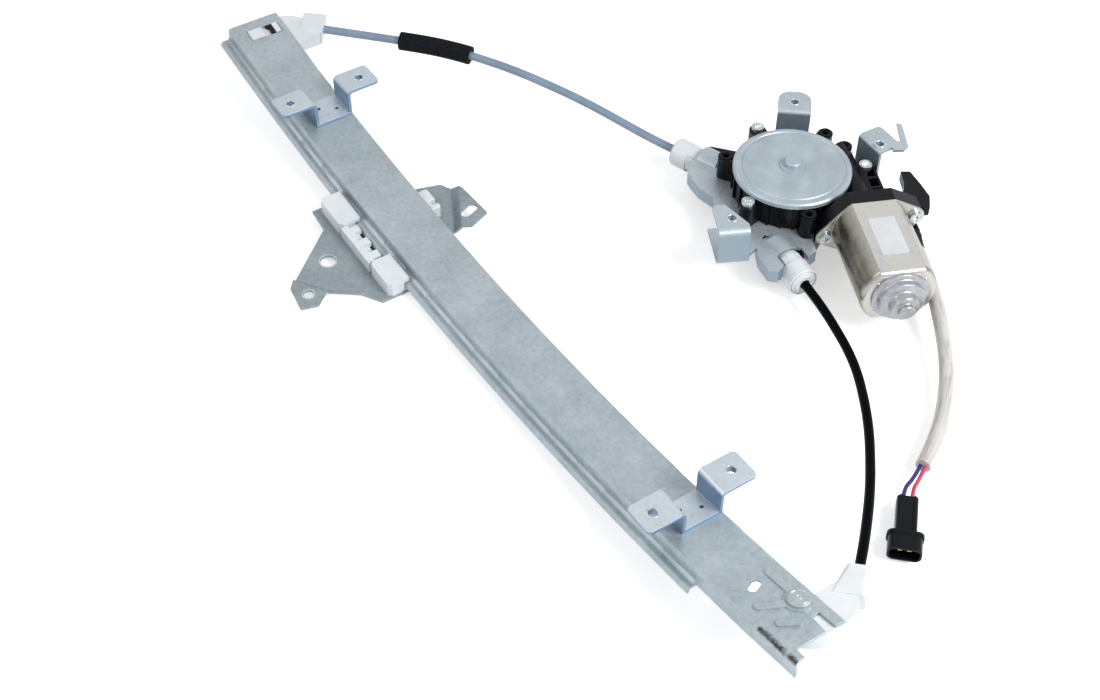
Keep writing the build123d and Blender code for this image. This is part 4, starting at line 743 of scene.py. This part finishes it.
class Finishes:
    """Builds each finish once and hands it out by name."""

    def __init__(self, unit: UnitSite) -> None:
        """Lists the finishes.

        Args:
            unit: The drum unit's site, whose axes two of the finishes follow.
        """
        grease = (
            GreaseSmear((-0.0223, -0.2915, -0.0048), (-0.0225, -0.3100, -0.0014), 0.0036),
            GreaseSmear((-0.0222, -0.3140, -0.0006), (-0.0220, -0.3205, 0.0008), 0.0034),
        )
        listed = (
            ZincFinish("zinc_rail", grease=grease),
            # wall: painted dark blue reflection on the brackets' upright faces.
            ZincFinish(
                "zinc_bright", (0.46, 0.52, 0.575), (0.56, 0.62, 0.68), roughness=0.38, speckle=0.2,
                wall=(0.09, 0.20, 0.35),
            ),
            # wall: painted reflection on the plate's upright faces.
            ZincFinish(
                "zinc_plate", (0.37, 0.43, 0.465), (0.48, 0.54, 0.59), roughness=0.4, speckle=0.3,
                wall=(0.20, 0.27, 0.33),
            ),
            ZincFinish("zinc_carrier", (0.205, 0.25, 0.275), (0.33, 0.385, 0.415), speckle=0.7),
            MouldedFinish(
                "nylon", (0.78, 0.81, 0.83), (0.70, 0.735, 0.76), roughness=0.36, specular=0.35,
                subsurface=0.3,
            ),
            MouldedFinish(
                "black_plastic", (0.0036, 0.0046, 0.0075), (0.0016, 0.0021, 0.0038), roughness=0.30,
                specular=0.15, texture_scale=1000.0,
            ),
            MouldedFinish("acetal", (0.70, 0.67, 0.55), (0.62, 0.59, 0.47), subsurface=0.1),
            MouldedFinish("rubber", (0.014, 0.014, 0.015), (0.008, 0.008, 0.009), 0.7, 0.2),
            MouldedFinish("carbon", (0.03, 0.03, 0.03), (0.015, 0.015, 0.015), roughness=0.55),
            SheathFinish(
                "black_sheath", (0.0013, 0.0016, 0.0032), (0.0008, 0.0010, 0.0020), roughness=0.26,
                specular=0.03,
            ),
            SheathFinish("grey_sheath", (0.235, 0.305, 0.40), (0.19, 0.25, 0.34), roughness=0.3),
            SheathFinish("blue_insulation", (0.022, 0.026, 0.19), (0.015, 0.018, 0.15)),
            SheathFinish("red_insulation", (0.62, 0.06, 0.12), (0.52, 0.04, 0.09)),
            FoamFinish("foam"),
            PassivatedFinish("passivated", unit.motor_axis),
            TurnedFinish("disc_steel", (0.46, 0.53, 0.585), unit.centre),
            PlainMetalFinish("ground_steel", (0.60, 0.62, 0.64), (0.44, 0.46, 0.48)),
            PlainMetalFinish("screw_zinc", (0.66, 0.70, 0.72), (0.40, 0.44, 0.46), 0.9, 0.2),
            PlainMetalFinish("nose_steel", (0.41, 0.42, 0.44), (0.31, 0.32, 0.345), 0.7, 0.3),
            PlainMetalFinish("dull_steel", (0.44, 0.49, 0.52), (0.36, 0.41, 0.44), 0.5, 0.42),
            PlainMetalFinish("copper", (0.72, 0.33, 0.16), (0.50, 0.20, 0.10)),
            PlainMetalFinish("bronze", (0.58, 0.40, 0.20), (0.42, 0.28, 0.14), roughness=0.45),
            PlainMetalFinish("brass", (0.78, 0.62, 0.30), (0.62, 0.48, 0.22)),
            PlainMetalFinish("ferrite", (0.10, 0.10, 0.11), (0.06, 0.06, 0.07), 0.3, 0.6),
            PaperFinish("paper"),
            ClearSleeveFinish("clear_sleeve"),
        )
        self.recipes: dict[str, Finish] = {finish.name: finish for finish in listed}
        self.made: dict[str, bpy.types.Material] = {}

    def dress(self, item: bpy.types.Object, name: str) -> None:
        """Gives an object one finish, which is built on its first use.

        Args:
            item: The object.
            name: The finish's name.
        """
        if name not in self.made:
            self.made[name] = self.recipes[name].build()
        item.data.materials.clear()
        item.data.materials.append(self.made[name])
        log.info("%s wears %s", item.name, name)

    def dress_nodes(self) -> None:
        """Dresses every CAD node, and reports any that has no finish."""
        left = dict(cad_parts)
        for finish, names in NODES_OF_FINISH.items():
            for name in names:
                self.dress(left.pop(name), finish)
        for name in left:
            log.warning("%s has no finish", name)


@dataclass
class Shape:
    """A mesh in the making, put together from turned shapes and raised outlines."""

    mesh: bmesh.types.BMesh = field(default_factory=bmesh.new)

    def spin(self, place: Matrix, profile: Outline, steps: int = 32) -> None:
        """Adds a turned shape: a profile of radii and heights about the place's z axis.

        Args:
            place: Where its axis lies.
            profile: Radii and heights, from one end to the other. A radius of 0 is a point on the axis.
            steps: Sides of the circle.
        """
        rings = []
        for radius, height in profile:
            turns = [2 * pi * step / steps for step in range(steps if radius else 1)]
            spots = [Vector((radius * cos(turn), radius * sin(turn), height)) for turn in turns]
            rings.append([self.mesh.verts.new(place @ spot) for spot in spots])
        for low, high in zip(rings, rings[1:]):
            for step in range(steps):
                after = (step + 1) % steps
                lower = [low[step % len(low)], low[after % len(low)]]
                upper = [high[after % len(high)], high[step % len(high)]]
                self.mesh.faces.new(list(dict.fromkeys(lower + upper)))

    def ring(self, place: Matrix, radii: Span, heights: Span, chamfer: float, steps: int = 32) -> None:
        """Adds a ring about the place's z axis.

        Args:
            place: Where its axis lies.
            radii: Radius of its hole and its outer radius.
            heights: Heights of its lower and its upper face.
            chamfer: How far its upper edges are cut back.
            steps: Sides of the circle.
        """
        inner, outer = radii
        low, high = heights
        profile = (
            (inner, low), (outer, low), (outer, high - chamfer), (outer - chamfer, high),
            (inner + chamfer, high), (inner, high - chamfer), (inner, low),
        )
        self.spin(place, profile, steps)

    def rim(self, place: Matrix, radius: float, width: float = 0.0009, height: float = 0.00014) -> None:
        """Adds the low burred or coined rim round a hole of a sheet."""
        self.ring(place, (radius, radius + width), (-height, height), 0.6 * height)

    def prism(self, place: Matrix, outline: Outline, heights: Span, bevel: float) -> None:
        """Adds a flat-ended block: an outline raised along the place's z axis.

        Args:
            place: Where the outline lies.
            outline: Its corners, anticlockwise.
            heights: Heights of its lower and its upper face.
            bevel: How far the upper edge is cut back.
        """
        low, high = heights
        count = len(outline)
        centre = Vector((sum(x for x, _ in outline), sum(y for _, y in outline))) / count
        rings = []
        for height, inset in ((low, 0.0), (high - bevel, 0.0), (high, bevel)):
            moved = [Vector(spot) + (centre - Vector(spot)).normalized() * inset for spot in outline]
            rings.append([self.mesh.verts.new(place @ Vector((*spot, height))) for spot in moved])
        for lower, upper in zip(rings, rings[1:]):
            for step in range(count):
                after = (step + 1) % count
                self.mesh.faces.new((lower[step], lower[after], upper[after], upper[step]))
        self.mesh.faces.new(rings[-1])
        self.mesh.faces.new(rings[0][::-1])

    def rib(
        self, place: Matrix, reach: Span, width: float, taper: float, heights: Span, bevel: float
    ) -> None:
        """Adds a rib that stands out from a round wall, along the place's z axis.

        Args:
            place: The wall's axis, with x to the rib.
            reach: Radii of its root and of its top.
            width: Its width at the root.
            taper: Its width at the top, as a share of the root's.
            heights: Where it starts and ends.
            bevel: How far the edge of its end is cut back.
        """
        root, top = reach
        half = width / 2
        outline = ((root, -half), (top, -taper * half), (top, taper * half), (root, half))
        self.prism(place, outline, heights, bevel)


@dataclass
class Workshop:
    """Turns shapes into pieces and puts them on their bodies."""

    finishes: Finishes
    weld: float = 1e-6
    sharp_angle: float = 32.0

    def piece(
        self, name: str, shape: Shape, finish: str, slot: str, body: Body = Body.FRAME, sharp: float = 0.0
    ) -> None:
        """Turns a shape into a piece of the object.

        Args:
            name: The piece's name.
            shape: Its shape, which is used up.
            finish: Its finish.
            slot: The record's material slot. It is not used.
            body: The body it rides on.
            sharp: Angle in degrees above which its edges stay sharp, where it isn't the usual one.
        """
        bmesh.ops.remove_doubles(shape.mesh, verts=shape.mesh.verts, dist=self.weld)
        bmesh.ops.recalc_face_normals(shape.mesh, faces=shape.mesh.faces)
        data = bpy.data.meshes.new(name)
        shape.mesh.to_mesh(data)
        shape.mesh.free()
        item = put(name, data)
        self.finishes.dress(item, finish)
        data.shade_smooth()
        data.set_sharp_from_angle(angle=radians(sharp or self.sharp_angle))
        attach(item, body.value)
        log.info("%s: %d faces on %s", name, len(data.polygons), body.value)


@dataclass
class Cord:
    """A flexible cord that follows a few points on one smooth line."""

    name: str
    node: str
    finish: str
    points: Sequence[Point]
    radius: float
    length: float
    far_end: str
    with_pieces: Sequence[str] = ()

    def build(self, shop: Workshop) -> None:
        """Args:
            shop: The workshop.
        """
        data = bpy.data.curves.new(self.name, "CURVE")
        data.dimensions = "3D"
        spline = data.splines.new("NURBS")
        spline.points.add(len(self.points) - 1)
        for target, point in zip(spline.points, self.points):
            target.co = (*point, 1.0)
        spline.order_u = 3
        spline.use_endpoint_u = True
        spline.resolution_u = 12
        data.bevel_depth = self.radius
        data.bevel_resolution = 6
        data.use_fill_caps = True
        item = put(self.name, data)
        shop.finishes.dress(item, self.finish)
        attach(item, Body.FRAME.value)
        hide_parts(self.node)
        log.info("%s: cord of %d points", self.name, len(self.points))


@dataclass
class Lead:
    """The motor's lead: sleeve and two wires, lying loose."""

    shop: Workshop
    sleeve_radius: float = 0.0046
    sleeve_length: float = 0.186
    wire_radius: float = 0.0012
    blue_length: float = 0.036
    red_length: float = 0.034
    sleeve_route: Sequence[Point] = (
        (0.2565, -0.0988, -0.0288),
        (0.2448, -0.1243, -0.0288),
        (0.2310, -0.1520, -0.0320),
        (0.2065, -0.1886, -0.0370),
        (0.1840, -0.2120, -0.0410),
        (0.1600, -0.2295, -0.0410),
        (0.1420, -0.2390, -0.0410),
    )
    blue_route: Sequence[Point] = (
        (0.1413, -0.2377, -0.0410),
        (0.1313, -0.2430, -0.0410),
        (0.1211, -0.2455, -0.0406),
        (0.1114, -0.2555, -0.0406),
    )
    red_route: Sequence[Point] = (
        (0.1427, -0.2403, -0.0410),
        (0.1327, -0.2456, -0.0410),
        (0.1248, -0.2491, -0.0406),
        (0.1151, -0.2591, -0.0406),
    )

    def build(self) -> None:
        """Makes the three cords."""
        cords = (
            Cord(
                "sleeve", "lead_sleeve", "clear_sleeve", self.sleeve_route, self.sleeve_radius,
                self.sleeve_length, "bare",
            ),
            Cord(
                "blue_lead", "blue_wire", "blue_insulation", self.blue_route, self.wire_radius,
                self.blue_length, "plug", ("plug_housing",),
            ),
            Cord(
                "red_lead", "red_wire", "red_insulation", self.red_route, self.wire_radius,
                self.red_length, "plug", ("plug_terminals", "plug_seal"),
            ),
        )
        for cord in cords:
            cord.build(self.shop)


@dataclass
class RailTrim:
    """Fine pieces of the rail: burred bolt rims, weld marks, the rivet's mark, and a black pad that is a
    painted shadow in the window's gap.
    """

    shop: Workshop
    site: RailSite
    ear_reach: float = 0.026
    bracket_station: float = 0.206
    bracket_gauge: float = 0.002
    bolt_radius: float = 0.00262
    mark_height: float = 0.00014
    mark_chamfer: float = 0.00007
    mark_lap: float = 0.0002
    weld_radii: Span = (0.00063, 0.0014)
    weld_places: Outline = ((-0.0015, -0.0045), (0.0035, 0.0048), (-0.0078, -0.0042))
    weld_sides: int = 20
    rivet_place: Span = (0.0052, -0.289)
    rivet_rings: Sequence[tuple[Span, int]] = (((0.0047, 0.0052), 40), ((0.0011, 0.0015), 20))
    # The black pad is a painted shadow of the gap in the window.
    pad_station: float = 0.294
    pad_outline: Outline = (
        (0.0022, -0.0040), (0.0050, -0.0042), (0.0054, 0.0008), (0.0090, 0.0010), (0.0094, 0.0032),
        (0.0012, 0.0046), (0.0006, 0.0026), (0.0026, 0.0012),
    )
    pad_heights: Span = (-0.0012, 0.0004)
    pad_bevel: float = 0.0002

    def build(self) -> None:
        """Makes the rail's fine pieces."""
        self.bolt_rims()
        self.weld_marks()
        self.rivet_mark()
        self.gap_shadow_pad()

    def bolt_rims(self) -> None:
        """The bright burr round each threaded hole of the brackets."""
        shape = Shape()
        for side in (-1, 1):
            for end in (-1, 1):
                place = Matrix.Translation((side * self.ear_reach, end * self.bracket_station, 0.0))
                shape.rim(place, self.bolt_radius)
        self.shop.piece("bracket_bolt_rims", shape, "screw_zinc", "zinc_steel")

    def weld_marks(self) -> None:
        """The low spot-weld marks on each bracket's base."""
        shape = Shape()
        heights = (-self.mark_height, self.mark_height)
        for end in (-1, 1):
            for x, y in self.weld_places:
                place = self.site.place(x, end * self.bracket_station + y, self.bracket_gauge)
                shape.ring(place, self.weld_radii, heights, self.mark_chamfer, self.weld_sides)
        self.shop.piece("bracket_weld_marks", shape, "zinc_bright", "zinc_steel")

    def rivet_mark(self) -> None:
        """The rim and the centre mark that the riveting tool leaves."""
        shape = Shape()
        place = self.site.place(*self.rivet_place)
        top = top_along("guide_rivet", place)
        heights = (top - self.mark_lap, top + self.mark_height)
        for radii, sides in self.rivet_rings:
            shape.ring(place, radii, heights, self.mark_chamfer, sides)
        self.shop.piece("rivet_mark", shape, "screw_zinc", "grey_steel")

    def gap_shadow_pad(self) -> None:
        """A black pad in the rail's window: a painted shadow that stands in for the dark gap there."""
        shape = Shape()
        place = self.site.place(0.0, self.pad_station)
        shape.prism(place, self.pad_outline, self.pad_heights, self.pad_bevel)
        self.shop.piece("gap_shadow_pad", shape, "rubber", "black_plastic")


@dataclass
class CarrierTrim:
    """Fine pieces of the carrier: the coined rims of its two plain holes, each an x, a y and a radius."""

    shop: Workshop
    site: RailSite
    station: float = 0.097
    depth: float = 0.0162
    ear_step: float = 0.006
    ear_hole: Point = (-0.0851, -0.0212, 0.0035)
    middle_hole: Point = (-0.0588, 0.0029, 0.0051)

    def build(self) -> None:
        """Makes the rims."""
        shape = Shape()
        for (x, y, radius), step in ((self.ear_hole, self.ear_step), (self.middle_hole, 0.0)):
            place = self.site.place(0.0, self.station, step - self.depth)
            shape.rim(place @ Matrix.Translation((x, y, 0.0)), radius)
        self.shop.piece("carrier_hole_rims", shape, "zinc_bright", "zinc_steel", Body.CARRIER)


@dataclass
class DrumUnitTrim:
    """Fine pieces of the drum unit: cup ribs, lug collars, bolt rims and the ferrules' grips."""

    shop: Workshop
    site: UnitSite
    rib_reach: Span = (0.0363, 0.0383)
    rib_width: float = 0.0015
    rib_taper: float = 0.7
    rib_heights: Span = (-0.0243, -0.0080)
    rib_bevel: float = 0.0003
    rib_angles: Sequence[float] = (65, 80, 122, 136, 166, 181, 196, 233, 246, 258, 283)
    lug_places: Outline = ((-0.0385, 0.0218), (0.032, 0.0346), (0.0409, 0.0198), (0.0, -0.042))
    lug_top: float = -0.008
    collar_radii: Span = (0.0026, 0.0043)
    collar_heights: Span = (-0.0002, 0.0008)
    collar_chamfer: float = 0.0002
    collar_sides: int = 28
    bolt_places: Outline = ((0.017, 0.0601), (0.0605, 0.0089), (-0.0508, -0.0462))
    bolt_radius: float = 0.00262
    ferrule_height: float = -0.0333
    ferrule_tips: Sequence[Point] = ((-0.0615, 0.0616, 132.5), (-0.0095, -0.077, -75.5))
    flat_count: int = 6
    flat_reach: Span = (0.0074, 0.0089)
    flat_width: float = 0.0052
    flat_taper: float = 0.8
    flat_run: Span = (-0.0200, -0.0056)
    flat_bevel: float = 0.0004
    barrel_radii: Span = (0.0081, 0.0097)
    barrel_run: Span = (-0.0130, -0.0004)
    barrel_round: float = 0.0009
    mouth_radii: Span = (0.0031, 0.0066)
    mouth_run: Span = (-0.0002, 0.0011)
    mouth_round: float = 0.0004

    def build(self) -> None:
        """Makes the drum unit's fine pieces."""
        self.cup_ribs()
        self.lug_collars()
        self.ear_rims()
        self.ferrule_grips()

    def cup_ribs(self) -> None:
        """The moulded ribs round the gear housing's cup."""
        shape = Shape()
        for angle in self.rib_angles:
            place = self.site.place(0.0, 0.0, 0.0, radians(angle))
            shape.rib(place, self.rib_reach, self.rib_width, self.rib_taper, self.rib_heights, self.rib_bevel)
        self.shop.piece("housing_ribs", shape, "black_plastic", "black_plastic")

    def lug_collars(self) -> None:
        """The raised collar on each open lug of the gear housing."""
        shape = Shape()
        for x, y in self.lug_places:
            place = self.site.place(x, y, self.lug_top)
            shape.ring(place, self.collar_radii, self.collar_heights, self.collar_chamfer, self.collar_sides)
        self.shop.piece("lug_collars", shape, "black_plastic", "black_plastic")

    def ear_rims(self) -> None:
        """The bright burr round each threaded hole of the plate's ears."""
        shape = Shape()
        for x, y in self.bolt_places:
            shape.rim(self.site.place(x, y, 0.0), self.bolt_radius)
        self.shop.piece("plate_bolt_rims", shape, "screw_zinc", "zinc_steel")

    def ferrule_grips(self) -> None:
        """The flats along each ferrule, the barrel round its outer half and the mouth of its conduit."""
        for name, (x, y, angle) in zip(("upper", "lower"), self.ferrule_tips):
            shape = Shape()
            tip = self.site.facing(x, y, self.ferrule_height, radians(angle))
            for step in range(self.flat_count):
                turned = tip @ Matrix.Rotation(2 * pi * step / self.flat_count, 4, "Z")
                shape.rib(
                    turned, self.flat_reach, self.flat_width, self.flat_taper, self.flat_run, self.flat_bevel
                )
            shape.ring(tip, self.barrel_radii, self.barrel_run, self.barrel_round)
            shape.ring(tip, self.mouth_radii, self.mouth_run, self.mouth_round)
            self.shop.piece(f"{name}_ferrule_grip", shape, "nylon", "white_nylon")


@dataclass
class MotorTrim:
    """Fine pieces of the motor: the can's drawn nose, staking marks, screw washers and the lead's boot."""

    shop: Workshop
    site: UnitSite
    can_length: float = 0.064
    flange_gauge: float = 0.0016
    nose_profile: Outline = (
        (0.0179, -0.0014), (0.0179, 0.0010), (0.0177, 0.0014), (0.0173, 0.0016), (0.0154, 0.0017),
        (0.0147, 0.0021), (0.0144, 0.0030), (0.0144, 0.0056), (0.0142, 0.0061), (0.0137, 0.0064),
        (0.0102, 0.0065), (0.0094, 0.0069), (0.0090, 0.0078), (0.0089, 0.0115), (0.0087, 0.0121),
        (0.0082, 0.0124), (0.0058, 0.0124), (0.0051, 0.0127), (0.0049, 0.0133), (0.0049, 0.0150),
        (0.0047, 0.0156), (0.0042, 0.0159), (0.0024, 0.0159), (0.0020, 0.0156), (0.0, 0.0156),
    )
    nose_sides: int = 72
    nose_sharp: float = 50.0
    stake_profile: Outline = ((0.0009, -0.0006), (0.0009, 0.0), (0.00054, 0.0003), (0.0, 0.0004))
    stake_reach: float = 0.0186
    stake_angles: Sequence[float] = (38, 142, 218, 322)
    stake_sides: int = 16
    stake_sharp: float = 60.0
    washer_radii: Span = (0.0021, 0.0050)
    washer_heights: Span = (0.0, 0.0005)
    washer_chamfer: float = 0.00015
    screw_across: float = 0.0286
    screw_rise: float = 0.005
    boss: Span = (0.0295, -0.0135)
    boot_profile: Outline = (
        (0.0046, 0.0), (0.0064, 0.0), (0.0064, 0.0030), (0.0058, 0.0036), (0.0058, 0.0060),
        (0.0054, 0.0066), (0.0054, 0.0090), (0.0050, 0.0096), (0.0049, 0.0135), (0.0046, 0.0140),
        (0.0046, 0.0),
    )

    def build(self) -> None:
        """Makes the motor's fine pieces."""
        self.nose()
        self.stakes()
        self.washers()
        self.boot()

    def nose(self) -> None:
        """The can's stepped nose, with the soft shoulders of a drawn cup."""
        shape = Shape()
        shape.spin(self.site.motor(0.0, 0.0, self.can_length), self.nose_profile, self.nose_sides)
        self.shop.piece("can_nose", shape, "nose_steel", "passivated_steel", sharp=self.nose_sharp)

    def stakes(self) -> None:
        """The four bright staking marks on the can's end."""
        shape = Shape()
        for angle in self.stake_angles:
            across, up = self.stake_reach * cos(radians(angle)), self.stake_reach * sin(radians(angle))
            shape.spin(self.site.motor(across, up, self.can_length), self.stake_profile, self.stake_sides)
        self.shop.piece("can_stakes", shape, "screw_zinc", "passivated_steel", sharp=self.stake_sharp)

    def washers(self) -> None:
        """A washer under the head of each of the motor's screws."""
        shape = Shape()
        for side in (-1, 1):
            place = self.site.motor(side * self.screw_across, side * self.screw_rise, self.flange_gauge)
            shape.ring(place, self.washer_radii, self.washer_heights, self.washer_chamfer)
        self.shop.piece("motor_washers", shape, "screw_zinc", "grey_steel")

    def boot(self) -> None:
        """The tapered boot that eases the lead out of the motor's face."""
        shape = Shape()
        shape.spin(self.site.motor(*self.boss, 0.0), self.boot_profile)
        self.shop.piece("lead_boot", shape, "rubber", "damper_rubber")


@dataclass(frozen=True)
class Lamp:
    """A soft square lamp that points at the part."""

    name: str
    place: Point
    size: float
    power: float

    def hang(self, aim: Point) -> None:
        """Hangs the lamp.

        Args:
            aim: The spot it points at.
        """
        data = bpy.data.lights.new(self.name, "AREA")
        data.shape = "SQUARE"
        data.size = self.size
        data.energy = self.power
        lamp = put(self.name, data)
        lamp.location = self.place
        lamp.rotation_euler = (Vector(aim) - Vector(self.place)).to_track_quat("-Z", "Y").to_euler()


@dataclass
class Studio:
    """Camera, floor, world and lamps: a soft key at the lower right and a weaker fill at the left."""

    camera_place: Point = (-0.3637, -0.6198, 0.6846)
    look: Point = (0.379, 0.574, -0.726)
    lens: float = 53.9
    film_width: float = 36.0
    nearest: float = 0.05
    soft_light: Color = (0.95, 0.98, 1.0)
    soft_strength: float = 0.45
    floor_color: Color = (0.9, 0.9, 0.9)
    floor_size: float = 2.8
    floor_gap: float = 0.0006
    floor_glow: float = 0.5
    aim: Point = (0.06, -0.10, 0.0)
    lamps: Sequence[Lamp] = (
        Lamp("key", (0.50, -1.05, 0.95), 0.6, 18.0),
        Lamp("fill", (-1.15, 0.35, 1.15), 0.9, 6.0),
    )

    def build(self, lowest: float) -> None:
        """Sets up the studio.

        Args:
            lowest: The height of the object's lowest point.
        """
        self.set_camera()
        self.set_world()
        self.lay_floor(lowest - self.floor_gap)
        for lamp in self.lamps:
            lamp.hang(self.aim)
        bpy.context.scene.view_settings.view_transform = "Standard"
        log.info("studio ready")

    def set_camera(self) -> None:
        """Places the camera at the photograph's view."""
        data = bpy.data.cameras.new("camera")
        data.lens = self.lens
        data.sensor_width = self.film_width
        data.sensor_fit = "HORIZONTAL"
        data.clip_start = self.nearest
        camera = put("camera", data)
        camera.location = self.camera_place
        camera.rotation_euler = Vector(self.look).to_track_quat("-Z", "Y").to_euler()
        bpy.context.scene.camera = camera

    def set_world(self) -> None:
        """White background for the camera, gloss and see-through pieces, plain soft light for the rest."""
        world = bpy.data.worlds.new("studio")
        bpy.context.scene.world = world
        sheet = NodeSheet(world)
        soft = sheet.result("Background", self.soft_light, self.soft_strength)
        white = sheet.result("Background", WHITE, 1.0)
        sheet.node("OutputWorld", Surface=sheet.result("MixShader", sheet.shown(), soft, white))

    def lay_floor(self, height: float) -> None:
        """Lays the pale floor, which glows only where it is seen.

        Args:
            height: Its height.
        """
        half = self.floor_size / 2
        corners = [(x * half, y * half, height) for x, y in ((-1, -1), (1, -1), (1, 1), (-1, 1))]
        data = bpy.data.meshes.new("floor")
        data.from_pydata(corners, [], [range(len(corners))])
        sheet = NodeSheet(bpy.data.materials.new("floor_paper"))
        matt = sheet.result("BsdfDiffuse", self.floor_color)
        glowing = sheet.result("AddShader", matt, sheet.result("Emission", WHITE, self.floor_glow))
        sheet.node("OutputMaterial", Surface=sheet.result("MixShader", sheet.shown(), matt, glowing))
        data.materials.append(sheet.owner)
        put("floor", data)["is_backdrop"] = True


def main() -> None:
    """Builds the studio, the finishes and every added piece."""
    logging.basicConfig(level=logging.INFO, format="%(message)s")
    cad_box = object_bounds()
    rail, unit = RailSite(), UnitSite()
    shop = Workshop(Finishes(unit))
    Studio().build(cad_box[0].z)
    Lead(shop).build()
    shop.finishes.dress_nodes()
    RailTrim(shop, rail).build()
    CarrierTrim(shop, rail).build()
    DrumUnitTrim(shop, unit).build()
    MotorTrim(shop, unit).build()


if __name__ == "__main__":
    main()
